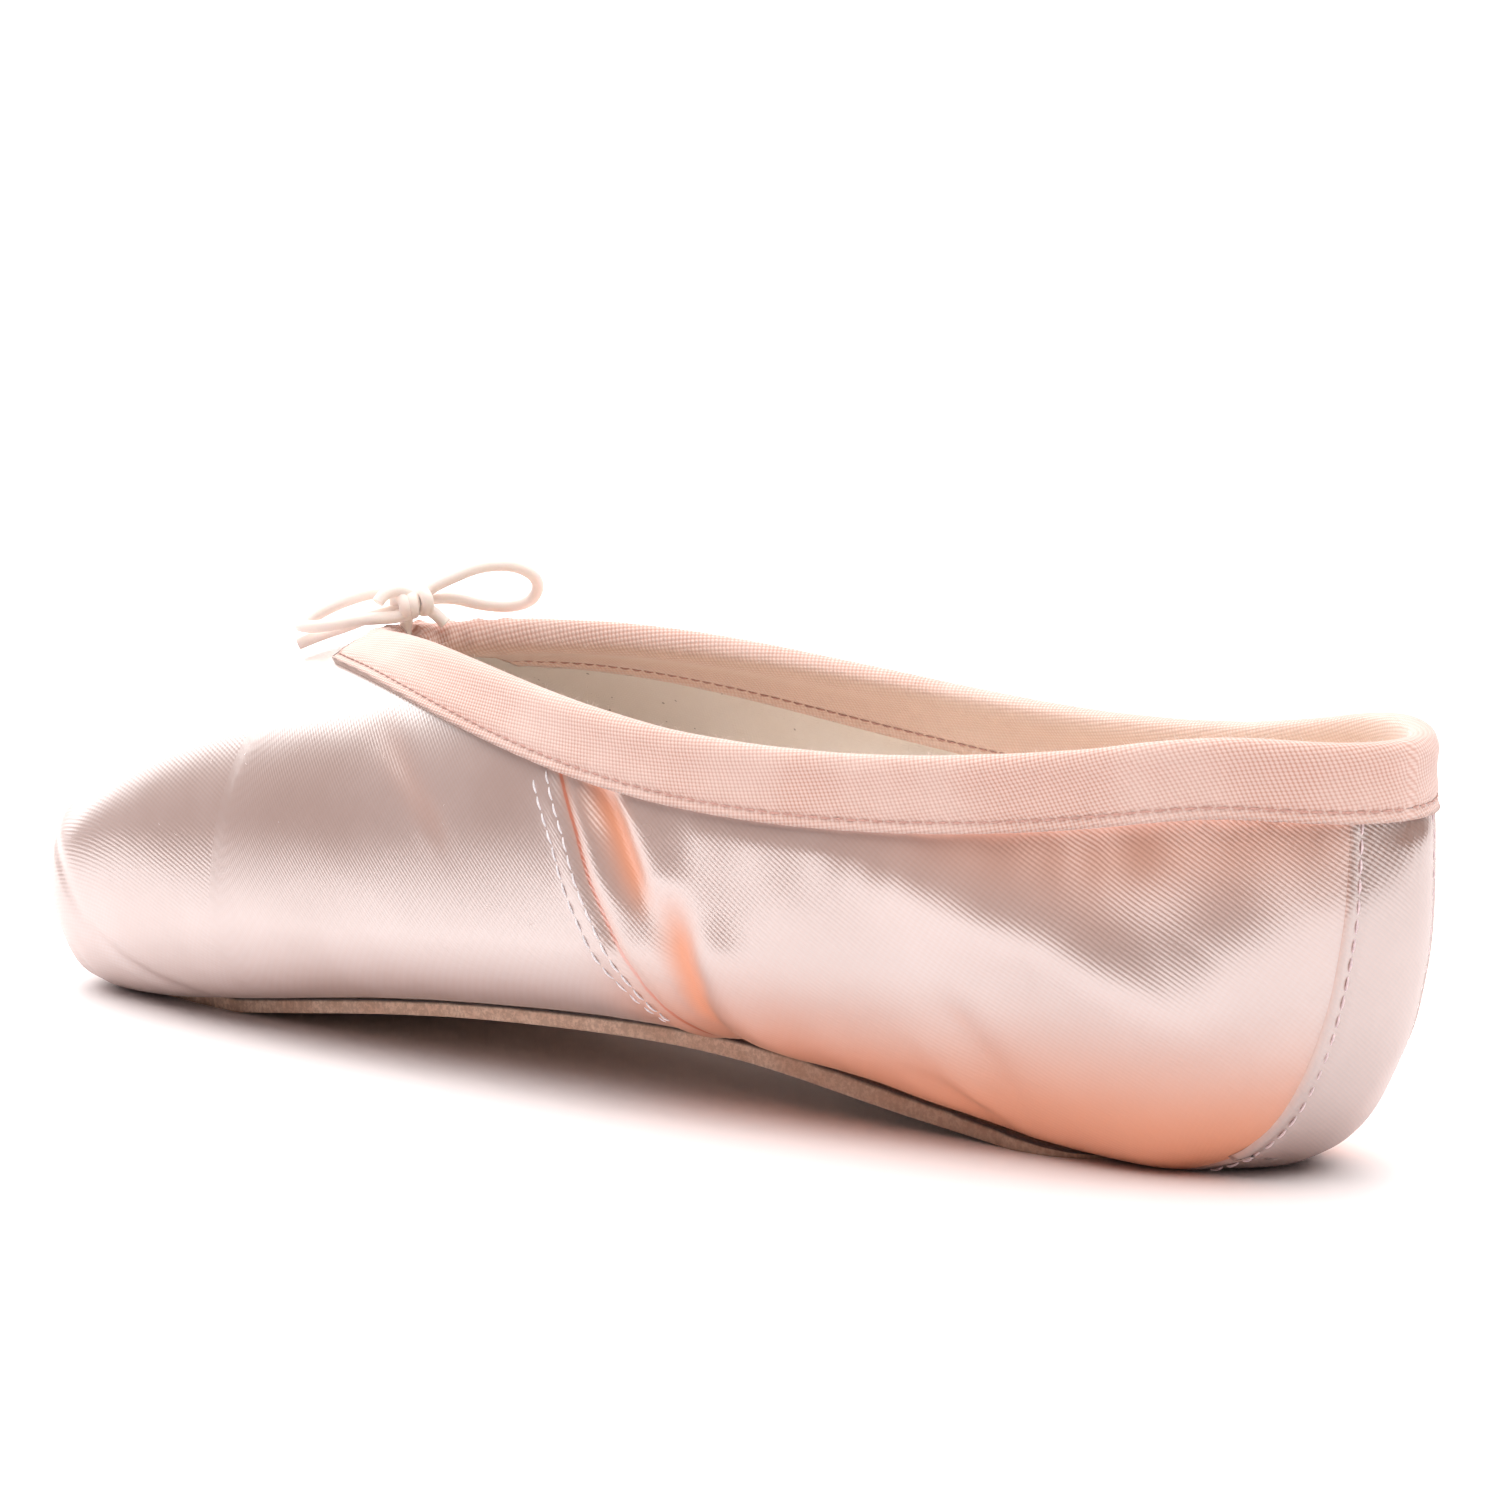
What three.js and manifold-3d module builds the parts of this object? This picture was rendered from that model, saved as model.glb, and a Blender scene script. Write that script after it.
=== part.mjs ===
// Pointe shoe: a satin ballet shoe with a stiff box, a leather sole and a drawstring collar.
// Millimetres. +X points to the toe, +Y to the wearer's left, +Z up. The floor is z = 0, and the
// origin is at the middle of the shoe's length and width. The last is straight, so both sides match.
import * as THREE from 'three';
import { mergeVertices } from 'three/addons/utils/BufferGeometryUtils.js';
import Module from 'manifold-3d';

const wasm = await Module();
wasm.setup();

// Driving sizes
const LENGTH = 235;           // back of the heel to the tip of the platform
const HEEL_CENTRE = 28;       // back of the heel to the centre that the heel's rows turn about
const FAN_RUN = 42;           // run of the rows that turn around the heel, a quarter turn each side
const TIP_RUN = LENGTH + FAN_RUN - HEEL_CENTRE;
const GAP = 0.3;              // room between pieces that meet
const ROOM_SLACK = 0.01;      // so that a body cut away never lies face to face with what it leaves
const LOWER_POWER = 2.1;      // roundness of a section below its widest place
const UPPER_POWER = 2.25;     // roundness of a section above it
const TOE_INSET_RUN = 205;    // from here on, an offset also moves a section back from the tip
const FLAT_SHARE = 0.4;       // share of an offset that goes to the level underside's width

// The last, a row for each section. run: way along the side from the middle of the heel's back.
// half: half the greatest width, at the height mid. flat: half the width of the level underside, at
// the height base. top: height of the closed last. wall: thickness of the upper.
const LAST_COLUMNS = ['run', 'half', 'mid', 'flat', 'base', 'top', 'wall'];
const LAST = [
  [0, 28, 37.5, 7.5, 0, 87, 1.5],
  [21, 25, 34.5, 7, 0, 85, 1.5],
  [42, 25.4, 30.5, 11, 0.2, 81.5, 1.5],
  [72, 30.5, 26.5, 14, 3.6, 77.5, 1.5],
  [104, 35.6, 23.6, 14.5, 8.1, 72.5, 1.5],
  [134, 36.8, 21.4, 17, 8.6, 65, 1.6],
  [159, 37.2, 19.8, 20, 7.3, 60, 2],
  [182, 36.8, 18.9, 22, 4.8, 55.6, 2.5],
  [204, 35.2, 17.9, 23, 2, 50.4, 3],
  [222, 32.3, 17, 20, 0.3, 43.6, 3.4],
  [236, 27.2, 16.8, 15, 1.3, 35.2, 3.4],
  [245, 18.8, 19, 9, 7.4, 29.8, 3.4],
  [TIP_RUN, 14.5, 20.4, 5.5, 12.6, 26.8, 3.4],
];

// Height of the collar edge, by the distance from the back of the heel
const COLLAR_COLUMNS = ['back', 'height'];
const COLLAR = [
  [0, 53.6],
  [12, 54.2],
  [28, 52.2],
  [58, 48.8],
  [90, 49],
  [120, 52],
  [142, 54.4],
  [158, 55],
  [175, 54],
];

// Leather sole, by the distance from the back of the heel. half: half its width. thick: its edge.
const SOLE_COLUMNS = ['back', 'half', 'thick'];
const SOLE = [
  [34, 12, 0.4],
  [38, 14, 0.9],
  [51, 15.8, 2],
  [66, 16.4, 2.6],
  [96, 18.3, 2.4],
  [121, 20.4, 2.1],
  [146, 22.2, 2],
  [171, 22.4, 2],
  [191, 21.4, 2],
  [212, 18.6, 2],
];
const SOLE_FRONT = 2;         // least height of its top, so that its front end sits in a recess
const SOLE_END_ROUND = 5;     // run over which each end of the sole rounds off
const SOLE_RECESS = 150;      // the recess is in front of here
const RECESS_DEPTH = 20;
const SOLE_OVERLAP = 4;       // how far the sole reaches past the opening under the upper
const INSOLE_THICK = 1.5;
const INSOLE_START = 22;      // back of the heel to each end of the insole
const INSOLE_END = 209;
const INSOLE_END_ROUND = 16;
const INSOLE_INSET = 1.5;     // in from the edge of the last's level underside
const PLATE_END = 0.55;       // share of its width that a sole or insole keeps at its very end
const FLOOR_SNAP = 0.03;      // an underside this close to the floor rests on it

// Drawstring casing: a tape folded over the collar edge
const TAPE_WIDTH = 8.5;
const TAPE_THICK = 0.9;
const TAPE_GAP = 0.45;        // room between the tape and the wall that it covers
const TAPE_LIFT = 0.8;        // room over the wall's edge, where the drawstring runs
const TAPE_SPLIT = 2;         // opening between the tape's two ends at the throat
const TAPE_STATIONS = 42;     // on each side
const TAPE_CROWDING = 1.4;    // above 1, the stations lie closer towards the throat
const TAPE_LEVELS = 2;        // steps down its width
const TAPE_SHOULDER = [0.3, 0.74];  // its fold's two shoulders, outward and upward
const THROAT_RANGE = [150, 185];    // the throat is between these distances from the heel's back

// Drawstring, tied in a bow over the throat. Routes are the cord's middle line, point by point.
const CORD_COLOUR = 0xf3ded6;
const CORD_ROUGHNESS = 0.8;
const CORD_DIAMETER = 1.8;
const CORD_SIDES = 8;
const CORD_STEP = 2;          // length of a straight step along a route
const CORD_LEAST_STEPS = 4;
const KNOT_CENTRE = [56.6, 0, 58.4];
const KNOT_HALF = [2.3, 2.1, 1.9];
const KNOT_SEGMENTS = [12, 8];
const ROUTES = {
  bow_loop_far: [
    [54.8, -2.1, 60.6], [52.5, -4.8, 62.3], [51.2, -7, 63.2], [49.9, -9.4, 63.6], [48.8, -12, 63.4],
    [47.9, -14.6, 62.3], [48.1, -16.4, 60.4], [49.3, -16.4, 58.4], [50.5, -14.6, 57.5],
    [51.9, -11.4, 57.5], [53.2, -8.3, 58.1], [54.4, -5.4, 58.8], [55.7, -3.3, 58.8],
  ],
  bow_loop_near: [
    [58.5, 1.9, 60], [60.8, 3.6, 59.7], [63.2, 5.4, 58.9], [65.6, 7.1, 57.7], [67.4, 8.8, 56.4],
    [68, 10.8, 55.4], [66.6, 12.5, 55.1], [64, 12.6, 55.2], [61.6, 11, 55.6], [59.8, 8.4, 56.1],
    [58.6, 5.6, 56.6], [58, 3.5, 57],
  ],
  drawstring_end_long: [
    [59.3, 1.2, 57.2], [61.4, 3.4, 56.3], [64, 6, 54.9], [66.6, 8.6, 53.6], [69, 11, 52.2],
  ],
  drawstring_end_short: [
    [56.5, 2.8, 59.9], [57, 4.3, 59.6], [57.5, 5.7, 58.9],
  ],
};

// Reach of the bodies that cut the upper's two openings
const CUT_OUTSIDE = 5;
const CUT_INSIDE = 6;
const CUT_SLIT = 0.02;
const CUT_TOP = 100;
const CUT_SIDE = 60;
const HOLE_LOW = -5;
const HOLE_HIGH = 16;

// Mesh steps
const FAN_STEPS = 12;
const BODY_STEPS = 30;
const TOE_STEPS = 9;
const TOE_RUN = 222;          // run where the last's closely spaced front sections start
const HOLE_STEPS = 20;
const PLATE_STEPS = 36;
const EDGE_POINTS = 400;
const SETTLE_STEPS = 4;       // repeats that bring a point onto the last, or onto the collar edge
const HALVINGS = 40;
const SLOPE_STEP = 0.05;
const MERGE_WITHIN = 1e-4;
const LOWER_STEPS = 7;
const UPPER_STEPS = 10;
const RIDGE_ANGLE = THREE.MathUtils.degToRad(88.5);

// Cubic spline through the points (xs, ys), level at its first point and straight at its last
function cubicSpline(xs, ys) {
  const end = xs.length - 1;
  const bend = new Array(end + 1).fill(0);
  const ratio = new Array(end + 1).fill(0);
  bend[0] = 3 * (ys[1] - ys[0]) / (xs[1] - xs[0]) ** 2;
  ratio[0] = 0.5;
  for (let i = 1; i < end; i++) {
    const before = xs[i] - xs[i - 1];
    const after = xs[i + 1] - xs[i];
    const change = (ys[i + 1] - ys[i]) / after - (ys[i] - ys[i - 1]) / before;
    const pivot = 2 * (before + after) - before * ratio[i - 1];
    ratio[i] = after / pivot;
    bend[i] = (6 * change - before * bend[i - 1]) / pivot;
  }
  for (let i = end - 1; i >= 0; i--) bend[i] -= ratio[i] * bend[i + 1];
  return (x) => {
    let i = 0;
    while (i < end - 1 && x > xs[i + 1]) i++;
    const width = xs[i + 1] - xs[i];
    const a = (xs[i + 1] - x) / width;
    const b = (x - xs[i]) / width;
    const curve = ((a ** 3 - a) * bend[i] + (b ** 3 - b) * bend[i + 1]) * width ** 2 / 6;
    return a * ys[i] + b * ys[i + 1] + curve;
  };
}

// A table's columns as one spline each, over its first column
function splines(columns, rows) {
  const xs = rows.map((row) => row[0]);
  const entries = columns.map((name, k) => [name, cubicSpline(xs, rows.map((row) => row[k]))]);
  return Object.fromEntries(entries);
}

const last = splines(LAST_COLUMNS, LAST);
const collar = splines(COLLAR_COLUMNS, COLLAR);
const sole = splines(SOLE_COLUMNS, SOLE);

function baseAt(run) {
  return Math.max(0, last.base(run));
}

function runOf(back) {
  return back + FAN_RUN - HEEL_CENTRE;
}

// Section of the last at a run, moved outward by an offset
function section(run, offset) {
  return {
    half: last.half(run) + offset,
    mid: last.mid(run),
    flat: last.flat(run) + offset * FLAT_SHARE,
    base: baseAt(run) - offset,
    top: last.top(run) + offset,
  };
}

// Reach and height of a section: lower goes from the underside to the widest place, upper from
// there to the ridge, each by an angle from 0 to a quarter turn
function lowerPoint(s, angle) {
  const reach = s.flat + (s.half - s.flat) * Math.sin(angle) ** (2 / LOWER_POWER);
  return [reach, s.mid - (s.mid - s.base) * Math.cos(angle) ** (2 / LOWER_POWER)];
}

function upperPoint(s, angle) {
  const reach = s.half * Math.cos(angle) ** (2 / UPPER_POWER);
  return [reach, s.mid + (s.top - s.mid) * Math.sin(angle) ** (2 / UPPER_POWER)];
}

function reachAt(s, height) {
  const rise = Math.min(1, Math.max(0, (height - s.mid) / (s.top - s.mid)));
  return s.half * Math.max(0, 1 - rise ** UPPER_POWER) ** (1 / UPPER_POWER);
}

// Place of a point at a reach from the spine: rows turn about the heel's centre, then go straight
function place(run, reach, height, side, offset = 0) {
  const turn = Math.min(1, run / FAN_RUN) * Math.PI / 2;
  const inset = offset * THREE.MathUtils.smoothstep(run, TOE_INSET_RUN, TIP_RUN);
  const back = HEEL_CENTRE + Math.max(0, run - FAN_RUN) - reach * Math.cos(turn) + inset;
  return new THREE.Vector3(back - LENGTH / 2, side * reach * Math.sin(turn), height);
}

function stationRuns() {
  const runs = [];
  for (let i = 0; i < FAN_STEPS; i++) runs.push(FAN_RUN * i / FAN_STEPS);
  for (let i = 0; i < BODY_STEPS; i++) runs.push(FAN_RUN + (TOE_RUN - FAN_RUN) * i / BODY_STEPS);
  for (let i = 0; i <= TOE_STEPS; i++) {
    const eased = Math.sin(i / TOE_STEPS * Math.PI / 2);
    runs.push(TOE_RUN + (TIP_RUN - TOE_RUN) * eased);
  }
  return runs;
}

// A closed geometry from points and triangles
function geometryOf(points, triangles) {
  const geometry = new THREE.BufferGeometry();
  const flat = new Float32Array(points.flatMap((p) => [p.x, p.y, p.z]));
  geometry.setAttribute('position', new THREE.BufferAttribute(flat, 3));
  geometry.setIndex(triangles);
  return geometry;
}

// The whole last as one closed body, each point moved outward by offsetAt(run)
function lastGeometry(offsetAt) {
  const runs = stationRuns();
  const levels = LOWER_STEPS + UPPER_STEPS;
  const points = [];
  const sides = [1, -1].map((side) => runs.map((run, i) => {
    const offset = offsetAt(run);
    const s = section(run, offset);
    const column = [];
    for (let j = 0; j <= levels; j++) {
      const low = j <= LOWER_STEPS;
      const angle = low ? j / LOWER_STEPS * Math.PI / 2 : (j - LOWER_STEPS) / UPPER_STEPS * RIDGE_ANGLE;
      const [reach, height] = low ? lowerPoint(s, angle) : upperPoint(s, angle);
      column.push(points.length);
      points.push(place(run, reach, height, side, offset));
    }
    return column;
  }));
  const [left, right] = sides;
  right[0] = left[0];
  const triangles = [];
  const quad = (a, b, c, d) => triangles.push(a, b, c, a, c, d);
  const end = runs.length - 1;
  for (let i = 0; i < end; i++) {
    for (let j = 0; j < levels; j++) {
      quad(left[i][j], left[i][j + 1], left[i + 1][j + 1], left[i + 1][j]);
      quad(right[i][j], right[i + 1][j], right[i + 1][j + 1], right[i][j + 1]);
    }
    quad(left[i][0], left[i + 1][0], right[i + 1][0], right[i][0]);
    quad(left[i][levels], right[i][levels], right[i + 1][levels], left[i + 1][levels]);
  }
  for (let j = 0; j < levels; j++) {
    quad(left[end][j], left[end][j + 1], right[end][j + 1], right[end][j]);
  }
  return geometryOf(points, triangles);
}

// Booleans
function toSolid(geometry) {
  const bare = geometry.clone();
  bare.deleteAttribute('normal');
  bare.deleteAttribute('uv');
  const merged = mergeVertices(bare, MERGE_WITHIN);
  return new wasm.Manifold(new wasm.Mesh({
    numProp: 3,
    vertProperties: new Float32Array(merged.attributes.position.array),
    triVerts: new Uint32Array(merged.index.array),
  }));
}

function toGeometry(solid) {
  const mesh = solid.getMesh();
  const geometry = new THREE.BufferGeometry();
  geometry.setAttribute('position', new THREE.BufferAttribute(mesh.vertProperties, 3));
  geometry.setIndex(new THREE.BufferAttribute(mesh.triVerts, 1));
  return geometry;
}

// A prism up from an outline on the floor
function floorPrism(outline, low, high) {
  const shape = new THREE.Shape(outline);
  const prism = new THREE.ExtrudeGeometry(shape, { depth: high - low, bevelEnabled: false });
  prism.translate(0, 0, low);
  return prism;
}

// Outline of a sole-like plate, heel to toe on the left and back on the right
function plateRows(start, end, round, halfAt, steps) {
  const rows = [];
  for (let i = 0; i <= steps; i++) {
    const back = start + (end - start) * (1 - Math.cos(i / steps * Math.PI)) / 2;
    const near = Math.min(1, (back - start) / round, (end - back) / round);
    const rounding = Math.sqrt(Math.max(0, 1 - (1 - near) ** 2));
    rows.push({ back, half: halfAt(back) * (PLATE_END + (1 - PLATE_END) * rounding) });
  }
  return rows;
}

function outlineOf(rows) {
  const left = rows.map((row) => new THREE.Vector2(row.back - LENGTH / 2, row.half));
  const right = rows.map((row) => new THREE.Vector2(row.back - LENGTH / 2, -row.half)).reverse();
  return [...left, ...right];
}

// A bent plate from rows of back, half, under and over, closed by its edge all round
function plateGeometry(rows) {
  const points = [];
  const triangles = [];
  const quad = (a, b, c, d) => triangles.push(a, b, c, a, c, d);
  const corners = rows.map((row) => {
    const x = row.back - LENGTH / 2;
    const first = points.length;
    points.push(new THREE.Vector3(x, row.half, row.under), new THREE.Vector3(x, -row.half, row.under));
    points.push(new THREE.Vector3(x, -row.half, row.over), new THREE.Vector3(x, row.half, row.over));
    return [first, first + 1, first + 2, first + 3];
  });
  for (let i = 0; i < rows.length - 1; i++) {
    const a = corners[i];
    const b = corners[i + 1];
    for (let k = 0; k < 4; k++) {
      const n = (k + 1) % 4;
      quad(a[k], b[k], b[n], a[n]);
    }
  }
  const tail = corners[corners.length - 1];
  quad(...corners[0]);
  quad(tail[3], tail[2], tail[1], tail[0]);
  return geometryOf(points, triangles);
}

const wallAt = (run) => last.wall(run);
const THROAT = throatBack();

// Where the collar edge meets the ridge of the vamp
function throatBack() {
  let [low, high] = THROAT_RANGE;
  for (let i = 0; i < HALVINGS; i++) {
    const mid = (low + high) / 2;
    const closed = last.top(runOf(mid)) <= collar.height(mid);
    [low, high] = closed ? [low, mid] : [mid, high];
  }
  return low;
}

// What is cut away above the collar: its lower face runs square through the wall along the edge
function collarCutter() {
  const edge = collarEdge();
  const rings = edge.map((p) => {
    const normal = lastSlope(p).normalize();
    const out = p.clone().addScaledVector(normal, CUT_OUTSIDE);
    const within = p.clone().addScaledVector(normal, -CUT_INSIDE);
    out.y = Math.max(out.y, CUT_SLIT);
    within.y = Math.max(within.y, CUT_SLIT);
    const side = [out, within].map((q) => [q, new THREE.Vector3(q.x, -q.y, q.z)]);
    const aside = (y) => new THREE.Vector3(out.x, y, CUT_TOP);
    return [side[0][0], side[1][0], side[1][1], side[0][1], aside(-CUT_SIDE), aside(CUT_SIDE)];
  });
  const { points, triangles, size } = ringsGeometry(rings);
  const end = points.length - size;
  for (let j = 1; j < size - 1; j++) {
    triangles.push(0, j, j + 1);
    triangles.push(end, end + j + 1, end + j);
  }
  return geometryOf(points, triangles);
}

// The upper: the last with its wall's inside, its collar opening and its sole opening cut away
function upperGeometry() {
  const outer = toSolid(lastGeometry(() => 0));
  const inner = toSolid(lastGeometry((run) => -wallAt(run)));
  const above = toSolid(collarCutter());
  const start = SOLE[0][0] + SOLE_OVERLAP;
  const end = SOLE[SOLE.length - 1][0] - SOLE_OVERLAP;
  const hole = plateRows(start, end, SOLE_END_ROUND, (back) => sole.half(back) - SOLE_OVERLAP, HOLE_STEPS);
  const beneath = toSolid(floorPrism(outlineOf(hole), HOLE_LOW, HOLE_HIGH));
  const recess = toSolid(outsoleGeometry(GAP - ROOM_SLACK));
  return toGeometry(outer.subtract(inner).subtract(above).subtract(beneath).subtract(recess));
}

// The leather sole, or with room around it the body that makes its recess in the upper
function outsoleGeometry(room = 0) {
  const start = SOLE[0][0] - room;
  const end = SOLE[SOLE.length - 1][0] + room;
  const rows = plateRows(start, end, SOLE_END_ROUND, (back) => sole.half(back) + room, PLATE_STEPS);
  for (const row of rows) {
    const least = row.back > SOLE_RECESS ? SOLE_FRONT : 0;
    const over = Math.max(baseAt(runOf(row.back)) - GAP, least);
    const under = over - sole.thick(row.back);
    row.over = over + room;
    row.under = (under < FLOOR_SNAP ? 0 : under) - room * RECESS_DEPTH;
  }
  return plateGeometry(rows);
}

// The insole, bent to the upper's inner underside
function insoleGeometry() {
  const halfAt = (back) => {
    const flat = last.flat(Math.max(FAN_RUN, runOf(back))) - INSOLE_INSET;
    return Math.sqrt(flat ** 2 - Math.max(0, HEEL_CENTRE - back) ** 2);
  };
  const rows = plateRows(INSOLE_START, INSOLE_END, INSOLE_END_ROUND, halfAt, PLATE_STEPS);
  for (const row of rows) {
    const run = runOf(row.back);
    row.under = baseAt(run) + wallAt(run) + GAP;
    row.over = row.under + INSOLE_THICK;
  }
  return plateGeometry(rows);
}

// How far a place is outside the last, less than 0 inside, as a ratio
function lastValue(p) {
  const along = p.x + LENGTH / 2 - HEEL_CENTRE;
  const turned = along < 0;
  const reach = turned ? Math.hypot(along, p.y) : Math.abs(p.y);
  const run = turned ? FAN_RUN * Math.atan2(Math.abs(p.y), -along) / (Math.PI / 2) : along + FAN_RUN;
  const s = section(run, 0);
  const rise = Math.max(0, (p.z - s.mid) / (s.top - s.mid));
  return rise ** UPPER_POWER + (reach / s.half) ** UPPER_POWER - 1;
}

function lastSlope(p) {
  const slope = new THREE.Vector3();
  for (const axis of ['x', 'y', 'z']) {
    const ahead = p.clone();
    const behind = p.clone();
    ahead[axis] += SLOPE_STEP;
    behind[axis] -= SLOPE_STEP;
    slope[axis] = (lastValue(ahead) - lastValue(behind)) / (2 * SLOPE_STEP);
  }
  return slope;
}

function ontoLast(p) {
  const found = p.clone();
  for (let i = 0; i < SETTLE_STEPS; i++) {
    const slope = lastSlope(found);
    found.addScaledVector(slope, -lastValue(found) / slope.lengthSq());
  }
  return found;
}

// The left half of the collar edge, from the middle of the heel to where the tape ends, and the
// throat itself
function collarEdge() {
  const fine = [];
  for (let i = 0; i <= EDGE_POINTS; i++) {
    const run = runOf(THROAT) * (1 - (1 - i / EDGE_POINTS) ** 2);
    const turn = Math.min(1, run / FAN_RUN) * Math.PI / 2;
    let height = collar.height(Math.max(0, run - FAN_RUN + HEEL_CENTRE));
    let reach = reachAt(section(run, 0), height);
    for (let k = 0; k < SETTLE_STEPS; k++) {
      const back = HEEL_CENTRE + Math.max(0, run - FAN_RUN) - reach * Math.cos(turn);
      height = collar.height(Math.max(0, back));
      reach = reachAt(section(run, 0), height);
    }
    fine.push(place(run, reach, height, 1));
  }
  const kept = fine.filter((p, i) => i < EDGE_POINTS / 2 || p.y > TAPE_SPLIT / 2);
  const curve = new THREE.CatmullRomCurve3(kept, false, 'centripetal');
  curve.arcLengthDivisions = 4 * EDGE_POINTS;
  const edge = [];
  for (let i = 0; i <= TAPE_STATIONS; i++) {
    edge.push(curve.getPointAt(1 - (1 - i / TAPE_STATIONS) ** TAPE_CROWDING));
  }
  return [...edge, fine[EDGE_POINTS]];
}

// Frames across the tape, from the edge down its width over the last. out: square to the last.
function tapeStation(points, i) {
  const before = points[Math.max(0, i - 1)];
  const along = points[i + 1].clone().sub(before);
  if (i === 0) along.set(0, 1, 0);
  let spot = points[i].clone();
  let out = lastSlope(spot).normalize();
  let down = out.clone().cross(along).normalize();
  const levels = [];
  for (let k = 0; k <= TAPE_LEVELS; k++) {
    levels.push({ spot, out, down, wall: wallAt(Math.max(0, runOf(spot.x + LENGTH / 2))) });
    spot = ontoLast(spot.clone().addScaledVector(down, TAPE_WIDTH / TAPE_LEVELS));
    out = lastSlope(spot).normalize();
    down = down.clone().addScaledVector(out, -down.dot(out)).normalize();
  }
  return levels;
}

// The tape's cross-section: up its outer leg, over the edge, down and up its inner leg, and back
function tapeRing(levels) {
  const edge = levels[0];
  const rising = [...levels].reverse();
  const [shoulder, rise] = TAPE_SHOULDER;
  const at = (level, out, up) => (
    level.spot.clone().addScaledVector(level.out, out).addScaledVector(level.down, -up)
  );
  const outer = (level) => at(level, TAPE_GAP + TAPE_THICK, 0);
  const inner = (level) => at(level, -level.wall - TAPE_GAP - TAPE_THICK, 0);
  return [
    ...rising.map(outer),
    at(edge, TAPE_GAP + shoulder, TAPE_LIFT + rise),
    at(edge, -edge.wall / 2, TAPE_LIFT + TAPE_THICK),
    at(edge, -edge.wall - TAPE_GAP - shoulder, TAPE_LIFT + rise),
    ...levels.map(inner),
    ...rising.map((level) => at(level, -level.wall - TAPE_GAP, 0)),
    at(edge, -edge.wall - TAPE_GAP, TAPE_LIFT),
    at(edge, -edge.wall / 2, TAPE_LIFT),
    at(edge, TAPE_GAP, TAPE_LIFT),
    ...levels.map((level) => at(level, TAPE_GAP, 0)),
  ];
}

// A closed body through rings of the same number of points
function ringsGeometry(rings) {
  const size = rings[0].length;
  const points = rings.flat();
  const triangles = [];
  for (let i = 0; i < rings.length - 1; i++) {
    for (let j = 0; j < size; j++) {
      const n = (j + 1) % size;
      const a = i * size;
      const b = a + size;
      triangles.push(a + j, b + j, b + n, a + j, b + n, a + n);
    }
  }
  return { points, triangles, size };
}

function tapeGeometry() {
  const edge = collarEdge();
  const left = edge.slice(0, -1).map((p, i) => tapeRing(tapeStation(edge, i)));
  const mirror = (ring) => ring.map((p) => new THREE.Vector3(p.x, -p.y, p.z));
  const right = left.slice(1).map(mirror);
  const rings = [...left.reverse(), ...right];
  const { points, triangles, size } = ringsGeometry(rings);
  // Ends: the ring is a folded strip, so its ends close by pairing outer points with inner ones
  const half = size / 2;
  const ends = [0, points.length - size];
  ends.forEach((first, k) => {
    for (let j = 0; j < half - 1; j++) {
      const a = first + j;
      const b = first + j + 1;
      const c = first + size - 2 - j;
      const d = first + size - 1 - j;
      const faces = k === 0 ? [a, b, c, a, c, d] : [a, c, b, a, d, c];
      triangles.push(...faces);
    }
  });
  return geometryOf(points, triangles);
}

// A cord along a route, with flat ends
function cordGeometry(route) {
  const points = route.map((row) => new THREE.Vector3(...row));
  const curve = new THREE.CatmullRomCurve3(points, false, 'centripetal');
  const profile = new THREE.Shape();
  for (let i = 0; i < CORD_SIDES; i++) {
    const angle = i / CORD_SIDES * 2 * Math.PI;
    const [x, y] = [Math.cos(angle), Math.sin(angle)].map((v) => v * CORD_DIAMETER / 2);
    if (i === 0) {
      profile.moveTo(x, y);
    } else {
      profile.lineTo(x, y);
    }
  }
  const steps = Math.max(CORD_LEAST_STEPS, Math.round(curve.getLength() / CORD_STEP));
  return new THREE.ExtrudeGeometry(profile, { steps, extrudePath: curve, bevelEnabled: false });
}

function knotGeometry() {
  const knot = new THREE.SphereGeometry(1, ...KNOT_SEGMENTS);
  knot.scale(...KNOT_HALF);
  knot.translate(...KNOT_CENTRE);
  return knot;
}

function piece(name, geometry, color, roughness) {
  const material = new THREE.MeshStandardMaterial({ color, roughness, metalness: 0 });
  const mesh = new THREE.Mesh(geometry, material);
  mesh.name = name;
  return mesh;
}

const shoe = new THREE.Group();
shoe.add(piece('upper', upperGeometry(), 0xf0e0dd, 0.35));
shoe.add(piece('outsole', outsoleGeometry(), 0xa57a63, 0.85));
shoe.add(piece('insole', insoleGeometry(), 0xc0a18d, 0.9));
shoe.add(piece('collar_binding', tapeGeometry(), 0xe2c0b7, 0.8));
shoe.add(piece('drawstring_knot', knotGeometry(), CORD_COLOUR, CORD_ROUGHNESS));
for (const [name, route] of Object.entries(ROUTES)) {
  shoe.add(piece(name, cordGeometry(route), CORD_COLOUR, CORD_ROUGHNESS));
}

export default shoe;
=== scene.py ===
# Pointe shoe: satin, tape, leather and cord over the fixed CAD frame. Sizes in tables are millimetres.
import math
import bpy
import numpy as np
from mathutils import Matrix, Vector


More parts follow.
